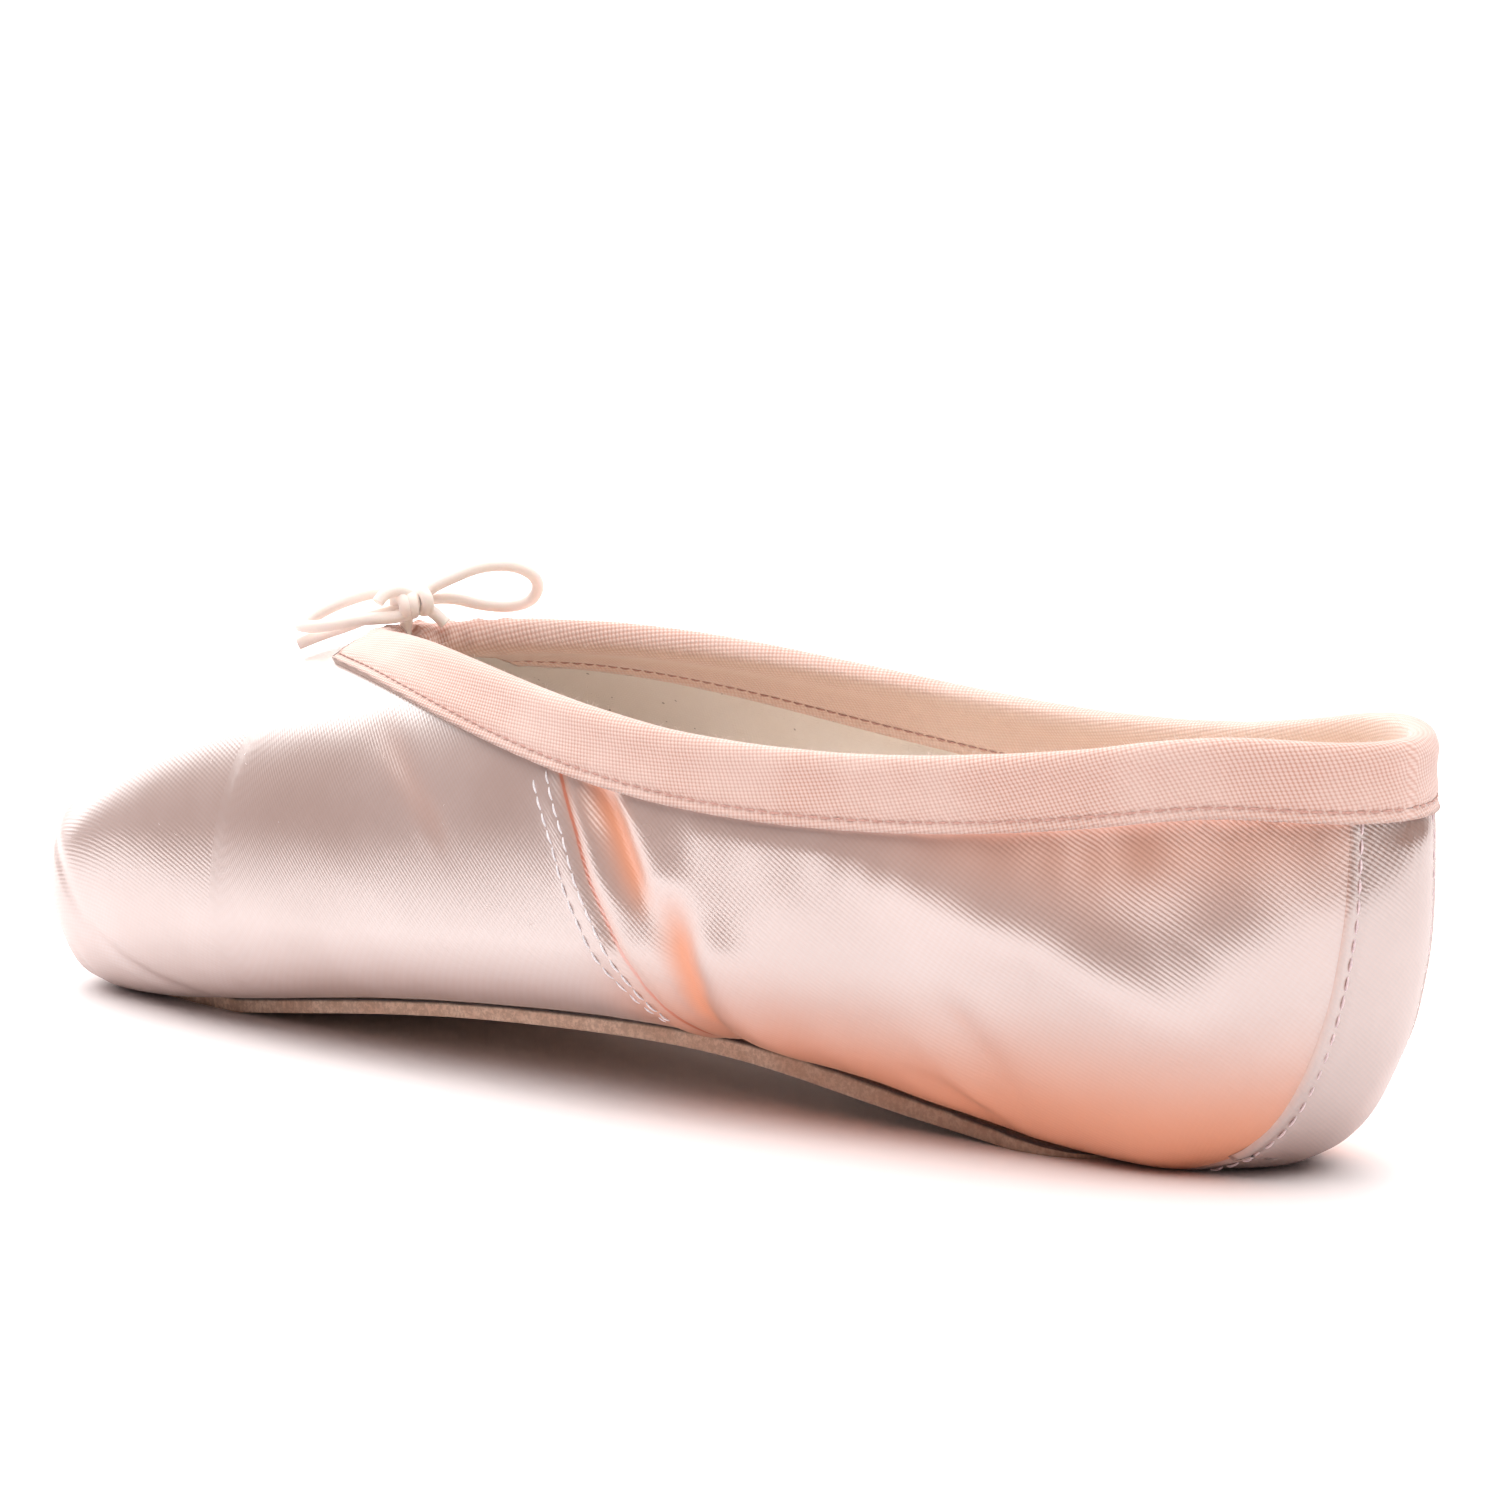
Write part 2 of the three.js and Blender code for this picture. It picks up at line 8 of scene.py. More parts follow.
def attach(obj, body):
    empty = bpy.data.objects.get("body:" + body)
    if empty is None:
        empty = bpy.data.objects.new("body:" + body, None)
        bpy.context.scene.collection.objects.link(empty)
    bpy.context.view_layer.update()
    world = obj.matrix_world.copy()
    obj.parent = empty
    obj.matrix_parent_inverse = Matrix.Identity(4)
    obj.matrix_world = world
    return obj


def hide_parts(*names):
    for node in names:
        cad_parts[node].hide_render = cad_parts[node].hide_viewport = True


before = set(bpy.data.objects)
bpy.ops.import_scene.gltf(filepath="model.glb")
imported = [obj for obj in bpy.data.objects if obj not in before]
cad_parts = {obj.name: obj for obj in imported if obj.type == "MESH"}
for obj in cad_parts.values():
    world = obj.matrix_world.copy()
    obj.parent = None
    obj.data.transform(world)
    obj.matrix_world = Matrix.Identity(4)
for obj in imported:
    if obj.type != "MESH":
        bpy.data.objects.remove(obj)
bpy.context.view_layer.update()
MM = 0.001

# Sizes of the shoe, as in its CAD source
LENGTH = 235
HEEL_CENTRE = 28
FAN_RUN = 42
TIP_RUN = LENGTH + FAN_RUN - HEEL_CENTRE
LOWER_POWER = 2.1
UPPER_POWER = 2.25
FLAT_SHARE = 0.4
TOE_INSET_RUN = 205
GAP = 0.3
LAST_COLUMNS = ["run", "half", "mid", "flat", "base", "top", "wall"]
LAST = [
    [0, 28, 37.5, 7.5, 0, 87, 1.5],
    [21, 25, 34.5, 7, 0, 85, 1.5],
    [42, 25.4, 30.5, 11, 0.2, 81.5, 1.5],
    [72, 30.5, 26.5, 14, 3.6, 77.5, 1.5],
    [104, 35.6, 23.6, 14.5, 8.1, 72.5, 1.5],
    [134, 36.8, 21.4, 17, 8.6, 65, 1.6],
    [159, 37.2, 19.8, 20, 7.3, 60, 2],
    [182, 36.8, 18.9, 22, 4.8, 55.6, 2.5],
    [204, 35.2, 17.9, 23, 2, 50.4, 3],
    [222, 32.3, 17, 20, 0.3, 43.6, 3.4],
    [236, 27.2, 16.8, 15, 1.3, 35.2, 3.4],
    [245, 18.8, 19, 9, 7.4, 29.8, 3.4],
    [TIP_RUN, 14.5, 20.4, 5.5, 12.6, 26.8, 3.4],
]
COLLAR = [
    [0, 53.6], [12, 54.2], [28, 52.2], [58, 48.8], [90, 49], [120, 52], [142, 54.4], [158, 55], [175, 54],
]
SOLE_COLUMNS = ["back", "half", "thick"]
SOLE = [
    [34, 12, 0.4], [38, 14, 0.9], [51, 15.8, 2], [66, 16.4, 2.6], [96, 18.3, 2.4], [121, 20.4, 2.1],
    [146, 22.2, 2], [171, 22.4, 2], [191, 21.4, 2], [212, 18.6, 2],
]
SOLE_FRONT = 2
SOLE_RECESS = 150
SOLE_END_ROUND = 5
INSOLE_THICK = 1.5
INSOLE_START = 22
INSOLE_END = 209
INSOLE_END_ROUND = 16
INSOLE_INSET = 1.5
TAPE_WIDTH = 8.5
CORD_DIAMETER = 1.8

# Steps of the methods below
SLOPE_STEP = 0.05             # either side of a point, to measure the last's slope
SETTLE_STEPS = 5
NEAR = 3
CORD_POINTS = 140
FINE_POINTS = 60              # for each point of a route
UNLIKE_ANY = [0.3, 0.2, 0.93]    # a direction that no path starts along
WELD_STEPS = 500              # to a millimetre: points in the same step are one point
FIELD_WAVES = 9               # sines in a random field, and their sum's usual reach
FIELD_SWING = 3.5

# The drawstring's two strands, each from the casing through the knot and a loop to its cut end
STRANDS = {
    "drawstring_strand_a": [
        [58.2, 0.2, 53.4], [58, 0.2, 55.2], [57.5, 0.1, 57], [56.4, -0.6, 58.9],
        [54.8, -2.1, 60.6], [52.5, -4.8, 62.3], [51.2, -7, 63.2], [49.9, -9.4, 63.6], [48.8, -12, 63.4],
        [47.9, -14.6, 62.3], [48.1, -16.4, 60.4], [49.3, -16.4, 58.4], [50.5, -14.6, 57.5],
        [51.9, -11.4, 57.5], [53.2, -8.3, 58.1], [54.4, -5.4, 58.8], [55.7, -3.3, 58.8],
        [57.2, -0.9, 58.4], [59.3, 1.2, 57.2], [61.4, 3.4, 56.3], [64, 6, 54.9], [66.6, 8.6, 53.6],
        [69, 11, 52.2],
    ],
    "drawstring_strand_b": [
        [53.4, -3.2, 55.4], [54.6, -2.2, 56.8], [55.8, -0.6, 58.2], [57.2, 0.8, 59.4],
        [58.7, 2.1, 59.9], [60.8, 3.6, 59.7], [63.2, 5.4, 58.9], [65.6, 7.1, 57.7], [67.4, 8.8, 56.4],
        [68, 10.8, 55.4], [66.6, 12.5, 55.1], [64, 12.6, 55.2], [61.6, 11, 55.6], [59.8, 8.4, 56.1],
        [58.4, 5.6, 56.3], [57.4, 3.6, 56.4], [56.7, 2.3, 56.6], [56.1, 1.2, 57.1], [55.8, 0.7, 58.3],
        [56.1, 1.2, 59.6], [56.8, 2.4, 60.2], [57.4, 3.7, 60.1], [57.8, 4.9, 59.5], [58, 5.7, 58.6],
    ],
}
KNOT_CENTRE = [56.6, 0, 58.4]
KNOT_AXIS = [0.5, 0.84, -0.2]
KNOT_REACH = [1.9, 1.45]      # of the turns' middle line, sideways and upward
KNOT_TURNS = [[-1.2, 0.4], [0.4, -0.3], [2, 0.3]]


# ---- camera, light and floor
TARGET = Vector((-9.3, 0, 43.4)) * MM
CAMERA_DISTANCE = 0.7
CAMERA_TURN = math.radians(43.07)
CAMERA_RISE = math.radians(7.28)
CAMERA_ROLL = math.radians(0.58)
CAMERA_LENS = 125


def placed(name, data):
    made = bpy.data.objects.new(name, data)
    bpy.context.scene.collection.objects.link(made)
    return made


def make_camera():
    data = bpy.data.cameras.new("camera")
    data.lens = CAMERA_LENS
    data.sensor_width = 36
    data.clip_start = 0.01
    camera = placed("camera", data)
    back = Vector((-math.sin(CAMERA_TURN) * math.cos(CAMERA_RISE),
                   math.cos(CAMERA_TURN) * math.cos(CAMERA_RISE), math.sin(CAMERA_RISE)))
    right = Vector((0, 0, 1)).cross(back).normalized()
    up = back.cross(right)
    level = Matrix((right, up, back)).transposed()
    roll = Matrix.Rotation(CAMERA_ROLL, 3, "Z")
    camera.matrix_world = Matrix.Translation(TARGET + back * CAMERA_DISTANCE) @ (level @ roll).to_4x4()
    bpy.context.scene.camera = camera
    bpy.context.scene.view_settings.view_transform = "Standard"


BACKDROP_PLACE = (0.86, -0.4, 0.5)
BACKDROP_AIM = (0.03, 0, 0.03)
BACKDROP_SIZE = (1.3, 0.9)
BACKDROP_POWER = 11.5


def make_backdrop():
    """A wide soft light beyond the shoe that the camera doesn't see."""
    data = bpy.data.lights.new("backdrop", "AREA")
    data.shape = "RECTANGLE"
    data.size, data.size_y = BACKDROP_SIZE
    data.energy = BACKDROP_POWER
    light = placed("backdrop", data)
    turn = (Vector(BACKDROP_AIM) - Vector(BACKDROP_PLACE)).to_track_quat("-Z", "Y").to_matrix().to_4x4()
    light.matrix_world = Matrix.Translation(BACKDROP_PLACE) @ turn
    light.visible_camera = False


SKY_AXIS = (0.02, -0.08, 0.996)    # towards the middle of the softbox overhead
SKY_DIM = 0.12
SKY_BRIGHT = 2.9
SKY_FADE = (0.5, 0.78)             # cosines of the angles from its axis between which it fades
SKY_COLOR = (1, 0.985, 0.97)
WHITE_SEEN = 1.1                   # strength of the plain white behind the shoe
FLOOR_SIZE = 4                     # metres from its middle to a side
FLOOR_COLOR = (0.92, 0.87, 0.875)


def make_world():
    """A soft light overhead that fades out towards the horizon, and plain white where the camera sees it."""
    world = bpy.data.worlds.new("studio")
    bpy.context.scene.world = world
    world.use_nodes = True
    sky = Tree(world.node_tree)
    seen = sky.tree.nodes["Background"]
    sky.link((1, 1, 1), seen.inputs["Color"])
    sky.link(WHITE_SEEN, seen.inputs["Strength"])
    direction = sky.node("TexCoord").outputs["Generated"]
    rise = sky.node("VectorMath", {0: direction, 1: SKY_AXIS}, operation="DOT_PRODUCT").outputs["Value"]
    fade = sky.ramp(rise, *SKY_FADE, SKY_DIM, SKY_BRIGHT)
    lit = sky.node("Background", {"Color": SKY_COLOR, "Strength": fade}).outputs[0]
    camera_ray = sky.node("LightPath").outputs["Is Camera Ray"]
    choice = sky.node("MixShader", {0: camera_ray, 1: lit, 2: seen.outputs[0]}).outputs[0]
    sky.link(choice, sky.tree.nodes["World Output"].inputs["Surface"])


def make_floor():
    mesh = bpy.data.meshes.new("floor")
    corners = [(FLOOR_SIZE * x, FLOOR_SIZE * y, 0) for x, y in ((-1, -1), (1, -1), (1, 1), (-1, 1))]
    mesh.from_pydata(corners, [], [(0, 1, 2, 3)])
    floor = placed("floor", mesh)
    pale = Nodes("floor_paper", Roughness=0.7)
    mesh.materials.append(pale.finish(FLOOR_COLOR))


# ---- materials
class Tree:
    """A node tree, built up by short calls."""

    def __init__(self, tree):
        self.tree = tree

    def link(self, value, socket):
        if isinstance(value, bpy.types.NodeSocket):
            self.tree.links.new(value, socket)
        elif socket.type == "RGBA":
            socket.default_value = (*value, 1)
        else:
            socket.default_value = value

    def node(self, kind, inputs=None, **settings):
        made = self.tree.nodes.new("ShaderNode" + kind)
        for key, value in settings.items():
            setattr(made, key, value)
        for key, value in (inputs or {}).items():
            self.link(value, made.inputs[key])
        return made

    def ramp(self, value, low, high, to_low=0, to_high=1):
        made = self.node("MapRange", {0: value, 1: low, 2: high, 3: to_low, 4: to_high})
        made.interpolation_type = "SMOOTHSTEP"
        return made.outputs[0]


class Nodes(Tree):
    """A material's node tree. Its noises lie in the object's own space."""

    def __init__(self, name, **values):
        self.material = bpy.data.materials.new(name)
        self.material.use_nodes = True
        super().__init__(self.material.node_tree)
        self.shader = self.tree.nodes["Principled BSDF"]
        self.place = self.node("TexCoord").outputs["Object"]
        for key, value in values.items():
            self.shader.inputs[key.replace("_", " ")].default_value = value

    def math(self, operation, *values):
        made = self.node("Math", operation=operation)
        for slot, value in zip(made.inputs, values):
            self.link(value, slot)
        return made.outputs[0]

    def plus(self, first, second):
        return self.math("ADD", first, second)

    def times(self, first, second):
        return self.math("MULTIPLY", first, second)

    def mix(self, share, first, second):
        made = self.node("Mix", data_type="RGBA")
        self.link(share, made.inputs[0])
        self.link(first, made.inputs[6])
        self.link(second, made.inputs[7])
        return made.outputs[2]

    def tint(self, color, share, amount, other):
        """A colour with another one over it, by an amount of a share."""
        return self.mix(self.times(share, amount), color, other)

    def noise(self, scale, detail=3, roughness=0.5):
        inputs = {"Vector": self.place, "Scale": scale, "Detail": detail, "Roughness": roughness}
        return self.node("TexNoise", inputs).outputs[0]

    def attribute(self, name):
        return self.node("Attribute", attribute_name=name).outputs["Fac"]

    def uv(self):
        return self.node("UVMap", uv_map="cloth").outputs[0]

    def split(self, vector):
        made = self.node("SeparateXYZ", {0: vector})
        return made.outputs[0], made.outputs[1]

    def wave(self, value, pitch):
        """1 at each multiple of pitch, 0 half way between."""
        turned = self.times(value, 2 * math.pi / pitch)
        return self.math("MULTIPLY_ADD", self.math("COSINE", turned), 0.5, 0.5)

    def bumps(self, *layers):
        """One bump over another, from the height, the depth and the strength of each."""
        normal = {}
        for height, depth, strength in layers:
            inputs = {"Height": height, "Distance": depth, "Strength": strength}
            normal = {"Normal": self.node("Bump", inputs | normal).outputs[0]}
        return normal["Normal"]

    def finish(self, color, normal=None, roughness=None):
        self.link(color, self.shader.inputs["Base Color"])
        if normal is not None:
            self.link(normal, self.shader.inputs["Normal"])
        if roughness is not None:
            self.link(roughness, self.shader.inputs["Roughness"])
        return self.material


SATIN_DARK = (0.48, 0.335, 0.295)
SATIN_MID = (0.55, 0.405, 0.37)
# the painted orange of shaded folds and low parts, standing in for warm bounced light in their shade
SATIN_WARM_SHADE = (0.84, 0.34, 0.19)
# the satin's colours made darker for the heel strip: painted shade
STRIP_SHADED_DARK = (0.36, 0.235, 0.2)
STRIP_SHADED_LIGHT = (0.43, 0.285, 0.25)
TAPE_LIGHT = (0.8, 0.575, 0.515)
TAPE_DARK = (0.6, 0.31, 0.235)
CORD_LIGHT = (0.98, 0.86, 0.8)
CORD_DARK = (0.9, 0.6, 0.48)


def satin(name, with_seam=True, dark=SATIN_DARK, light=SATIN_MID):
    """Satin: fine slanted floats, a soft gloss along the cloth, painted orange shade in its folds and low
    parts, a seam and handling marks.
    """
    n = Nodes(name, IOR=3.5, Anisotropic=0.4, Sheen_Weight=0.1, Sheen_Roughness=0.35)
    n.shader.inputs["Sheen Tint"].default_value = (1, 0.93, 0.9, 1)
    u, v = n.split(n.uv())
    slant = n.plus(n.times(u, 0.55), n.times(v, 0.84))
    cross = n.math("SUBTRACT", n.times(u, 0.84), n.times(v, 0.55))
    soft = n.noise(60, 2)
    wander = n.times(soft, 0.5)
    floats = n.wave(n.plus(slant, wander), 0.52)
    steps = n.wave(n.plus(cross, wander), 0.95)
    weave = n.math("MULTIPLY_ADD", steps, 0.35, n.times(floats, 0.65))
    cloudy = n.noise(38, 4)
    color = n.mix(n.ramp(cloudy, 0.3, 0.7), dark, light)
    color = n.tint(color, n.math("SUBTRACT", 1, weave), 0.22, (0.5, 0.27, 0.21))
    # painted orange shade in the folds, the seam's groove and low on the quarters and heel
    painted_warm_shade = n.attribute("painted_warm_shade")
    color = n.mix(painted_warm_shade, color, SATIN_WARM_SHADE)
    if with_seam:
        seam = n.math("ABSOLUTE", n.attribute("seam"))
        line = n.ramp(seam, 0.12, 0.4, 1, 0)
        color = n.tint(color, line, 0.85, (0.62, 0.16, 0.08))
    grime = n.times(n.attribute("grime"), n.ramp(n.noise(420, 5, 0.7), 0.42, 0.62))
    color = n.mix(grime, color, (0.27, 0.1, 0.045))
    # less gloss where the orange shade is painted
    n.link(n.math("MULTIPLY_ADD", painted_warm_shade, -0.4, 0.5), n.shader.inputs["Specular IOR Level"])
    normal = n.bumps((weave, 0.00004, 0.5), (soft, 0.0004, 0.12))
    roughness = n.math("MULTIPLY_ADD", soft, 0.06, 0.23)
    n.link(n.node("Tangent", direction_type="UV_MAP", uv_map="cloth").outputs[0], n.shader.inputs["Tangent"])
    return n.finish(color, normal, roughness)


def tape_cloth(name):
    """Cotton tape in a plain weave: small raised blocks with darker pits between them."""
    n = Nodes(name, IOR=1.45, Sheen_Weight=0.45, Sheen_Roughness=0.5)
    u, v = n.split(n.uv())
    wander = n.times(n.noise(300, 2), 0.25)
    along = n.plus(u, wander)
    ribs = n.wave(n.plus(along, n.times(v, 0.5)), 0.62)
    picks = n.wave(n.math("SUBTRACT", v, n.times(u, 0.12)), 0.46)
    weave = n.times(n.math("MULTIPLY_ADD", ribs, 0.7, 0.3), n.math("MULTIPLY_ADD", picks, 0.6, 0.4))
    color = n.mix(n.ramp(weave, 0.1, 0.65), TAPE_DARK, TAPE_LIGHT)
    color = n.tint(color, n.ramp(n.noise(60, 3), 0.35, 0.75), 0.35, (0.86, 0.68, 0.62))
    # painted light: the inside of the casing is made lighter and warmer
    color = n.tint(color, n.attribute("inner"), 0.6, (0.99, 0.75, 0.62))
    normal = n.bumps((weave, 0.00016, 0.8), (n.noise(1500, 4), 0.00006, 0.6))
    return n.finish(color, normal, n.ramp(weave, 0, 1, 0.95, 0.75))


def canvas(name):
    """Glued lining: a fine plain weave, with painted shade in the box, and ivory twill behind the lining's
    seam.
    """
    n = Nodes(name, IOR=1.4, Sheen_Weight=0.15)
    u, v = n.split(n.uv())
    weave = n.times(n.wave(u, 0.5), n.wave(v, 0.5))
    paste = n.ramp(n.noise(55, 5, 0.6), 0.35, 0.7)
    color = n.mix(paste, (0.95, 0.88, 0.81), (0.98, 0.93, 0.88))
    # painted shade deeper in the toe box
    color = n.tint(color, n.ramp(n.attribute("back"), 118, 165), 0.7, (0.86, 0.79, 0.73))
    twill = n.wave(n.plus(u, v), 0.9)
    ivory = n.tint((0.99, 0.95, 0.88), twill, 0.4, (0.96, 0.86, 0.75))
    behind = n.ramp(n.attribute("lining"), -0.35, 0.35, 1, 0)
    color = n.mix(behind, color, ivory)
    edge = n.ramp(n.math("ABSOLUTE", n.attribute("lining")), 0.1, 0.55, 1, 0)
    color = n.tint(color, edge, 0.7, (0.8, 0.38, 0.2))
    specks = n.ramp(n.noise(900, 1), 0.745, 0.78)
    color = n.tint(color, specks, 0.55, (0.16, 0.1, 0.07))
    normal = n.bumps((weave, 0.0001, 0.5), (n.noise(120, 4), 0.0006, 0.35))
    return n.finish(color, normal, n.ramp(paste, 0, 1, 0.9, 0.7))


def suede(name):
    """Split leather: a fibrous nap, mottled by wear, darker towards the heel, and with a painted gap shadow
    along its upper edge.
    """
    n = Nodes(name, IOR=1.4, Sheen_Weight=0.3, Sheen_Roughness=0.6)
    coarse = n.noise(180, 5, 0.6)
    fine = n.noise(1400, 4, 0.7)
    color = n.mix(n.ramp(coarse, 0.3, 0.7), (0.8, 0.51, 0.37), (0.97, 0.71, 0.55))
    color = n.tint(color, n.ramp(fine, 0.42, 0.62, 1, 0), 0.6, (0.52, 0.31, 0.21))
    color = n.tint(color, n.ramp(n.attribute("back"), 130, 60), 0.45, (0.33, 0.22, 0.16))
    # painted gap shadow along the sole's upper edge, beneath the overhanging satin
    color = n.mix(n.attribute("edge"), color, (0.07, 0.04, 0.03))
    normal = n.bumps((fine, 0.00012, 0.8), (coarse, 0.0004, 0.5))
    return n.finish(color, normal, n.ramp(fine, 0.2, 0.8, 0.98, 0.8))


def insole_cloth(name):
    """Thin suede board, worn smooth and mottled."""
    n = Nodes(name, IOR=1.4, Sheen_Weight=0.2)
    coarse = n.noise(70, 5, 0.6)
    fine = n.noise(1600, 4, 0.7)
    color = n.mix(n.ramp(coarse, 0.3, 0.7), (0.55, 0.4, 0.31), (0.68, 0.52, 0.42))
    color = n.tint(color, n.ramp(fine, 0.4, 0.7, 1, 0), 0.3, (0.36, 0.23, 0.16))
    normal = n.bumps((fine, 0.0001, 0.6), (coarse, 0.0006, 0.4))
    return n.finish(color, normal, n.ramp(coarse, 0.2, 0.8, 0.85, 0.7))


def cord_cotton(name):
    """Soft braided cotton: short slanted strands around the cord."""
    n = Nodes(name, IOR=1.45, Sheen_Weight=0.4, Sheen_Roughness=0.5, Subsurface_Weight=0.15)
    n.shader.inputs["Subsurface Radius"].default_value = (0.0012, 0.0006, 0.0004)
    u, v = n.split(n.uv())
    left = n.wave(n.plus(u, n.times(v, 0.8)), 0.75)
    right = n.wave(n.math("SUBTRACT", u, n.times(v, 0.8)), 0.75)
    braid = n.math("MAXIMUM", left, right)
    shade = n.mix(n.ramp(braid, 0.2, 0.8), CORD_DARK, CORD_LIGHT)
    shade = n.tint(shade, n.noise(800, 3), 0.5, CORD_LIGHT)
    normal = n.bumps((braid, 0.00012, 0.6), (n.noise(2500, 3), 0.00005, 0.6))
    return n.finish(shade, normal, n.ramp(braid, 0, 1, 0.9, 0.75))


def thread(name, color):
    n = Nodes(name, IOR=1.5, Sheen_Weight=0.3)
    twist = n.noise(3000, 2)
    shade = n.mix(n.ramp(twist, 0.35, 0.65), tuple(0.8 * c for c in color), color)
    return n.finish(shade, n.bumps((twist, 0.00004, 0.5)), n.ramp(twist, 0, 1, 0.6, 0.45))


# ---- the last's surface
def spline(xs, ys, level=True):
    """Cubic spline, straight at its last point, and at its first either level or straight."""
    xs, ys = np.asarray(xs, float), np.asarray(ys, float)
    count = len(xs)
    width = np.diff(xs)
    slope = np.diff(ys) / width
    rows = np.eye(count)
    right = np.zeros(count)
    if level:
        rows[0, :2] = 2 * width[0], width[0]
        right[0] = 6 * slope[0]
    for i in range(1, count - 1):
        rows[i, i - 1:i + 2] = width[i - 1], 2 * (width[i - 1] + width[i]), width[i]
        right[i] = 6 * (slope[i] - slope[i - 1])
    bend = np.linalg.solve(rows, right)

    def at(x):
        x = np.asarray(x, float)
        i = np.clip(np.searchsorted(xs, x) - 1, 0, count - 2)
        a = (xs[i + 1] - x) / width[i]
        b = (x - xs[i]) / width[i]
        curve = ((a ** 3 - a) * bend[i] + (b ** 3 - b) * bend[i + 1]) * width[i] ** 2 / 6
        return a * ys[i] + b * ys[i + 1] + curve
    return at


def table(columns, rows):
    """A table's columns as one spline each, over its first column."""
    xs = [row[0] for row in rows]
    return {name: spline(xs, [row[k] for row in rows]) for k, name in enumerate(columns)}


last = table(LAST_COLUMNS, LAST)
sole = table(SOLE_COLUMNS, SOLE)
collar_height = table(["back", "height"], COLLAR)["height"]


def smooth(value, low, high):
    t = np.clip((np.asarray(value, float) - low) / (high - low), 0, 1)
    return t * t * (3 - 2 * t)


def back_of(p):
    """Distances from the back of the heel, for points in millimetres."""
    return p[..., 0] + LENGTH / 2


def bell(value, middle, width):
    """1 at the middle, falling off to both sides of it over a width."""
    return np.exp(-((value - middle) / width) ** 2)


def run_of(back):
    return back + FAN_RUN - HEEL_CENTRE


def base_at(run):
    return np.maximum(0, last["base"](run))


def wall_at(p):
    return last["wall"](np.maximum(0, run_of(back_of(p))))


def turn_at(run):
    return np.minimum(1, run / FAN_RUN) * math.pi / 2


def back_at(run, reach):
    return HEEL_CENTRE + np.maximum(0, run - FAN_RUN) - reach * np.cos(turn_at(run))


def section(run, offset):
    return {
        "half": last["half"](run) + offset,
        "mid": last["mid"](run),
        "flat": last["flat"](run) + offset * FLAT_SHARE,
        "base": base_at(run) - offset,
        "top": last["top"](run) + offset,
    }


def lower_point(s, angle):
    reach = s["flat"] + (s["half"] - s["flat"]) * np.sin(angle) ** (2 / LOWER_POWER)
    return reach, s["mid"] - (s["mid"] - s["base"]) * np.maximum(0, np.cos(angle)) ** (2 / LOWER_POWER)


def upper_point(s, angle):
    reach = s["half"] * np.maximum(0, np.cos(angle)) ** (2 / UPPER_POWER)
    return reach, s["mid"] + (s["top"] - s["mid"]) * np.sin(angle) ** (2 / UPPER_POWER)


def place(run, reach, height, side, offset=0):
    inset = offset * smooth(run, TOE_INSET_RUN, TIP_RUN)
    x = back_at(run, reach) + inset - LENGTH / 2
    return np.stack(np.broadcast_arrays(x, side * reach * np.sin(turn_at(run)), height), -1)


def edge_angle(run):
    """The angle in a section's upper part where the collar's edge lies: a quarter turn past the throat."""
    s = section(run, 0)
    height = collar_height(np.maximum(0, run - FAN_RUN + HEEL_CENTRE))
    for _ in range(6):
        rise = np.clip((height - s["mid"]) / (s["top"] - s["mid"]), 0, 1)
        reach = s["half"] * (1 - rise ** UPPER_POWER) ** (1 / UPPER_POWER)
        height = collar_height(np.maximum(0, back_at(run, reach)))
    rise = np.clip((height - s["mid"]) / (s["top"] - s["mid"]), 0, 1)
    past = s["top"] <= height
    return np.where(past, math.pi / 2, np.arcsin(rise ** (UPPER_POWER / 2)))


def throat_run():
    low, high = 165.0, 199.0
    for _ in range(40):
        mid = (low + high) / 2
        if last["top"](mid) > collar_height(mid - FAN_RUN + HEEL_CENTRE):
            low = mid
        else:
            high = mid
    return low


THROAT_RUN = throat_run()


def value_of(p):
    """Less than 0 inside the last, more than 0 outside it, for points in millimetres."""
    along = back_of(p) - HEEL_CENTRE
    turned = along < 0
    reach = np.where(turned, np.hypot(along, p[..., 1]), np.abs(p[..., 1]))
    angle = np.arctan2(np.abs(p[..., 1]), np.maximum(1e-9, -along))
    run = np.where(turned, FAN_RUN * angle / (math.pi / 2), along + FAN_RUN)
    s = section(run, 0)
    rise = np.maximum(0, (p[..., 2] - s["mid"]) / (s["top"] - s["mid"]))
    upper = rise ** UPPER_POWER + (reach / s["half"]) ** UPPER_POWER - 1
    fall = np.maximum(0, (s["mid"] - p[..., 2]) / (s["mid"] - s["base"]))
    over = np.maximum(0, reach - s["flat"]) / (s["half"] - s["flat"])
    lower = fall ** LOWER_POWER + over ** LOWER_POWER - 1
    return np.where(p[..., 2] > s["mid"], upper, lower)


def slope_of(p):
    steps = np.eye(3) * SLOPE_STEP
    return np.stack([(value_of(p + step) - value_of(p - step)) / (2 * SLOPE_STEP) for step in steps], -1)


def unit(v):
    return v / np.maximum(1e-12, np.linalg.norm(v, axis=-1, keepdims=True))


def last_normal(p):
    return unit(slope_of(p))


def onto_last(p):
    """Moves points onto the last's surface, by no more than NEAR at a time."""
    for _ in range(SETTLE_STEPS):
        slope = slope_of(p)
        size = np.maximum(1e-6, (slope ** 2).sum(-1, keepdims=True))
        step = -value_of(p)[..., None] * slope / size
        length = np.linalg.norm(step, axis=-1, keepdims=True)
        p = p + step * np.minimum(1, NEAR / np.maximum(1e-9, length))
    return p


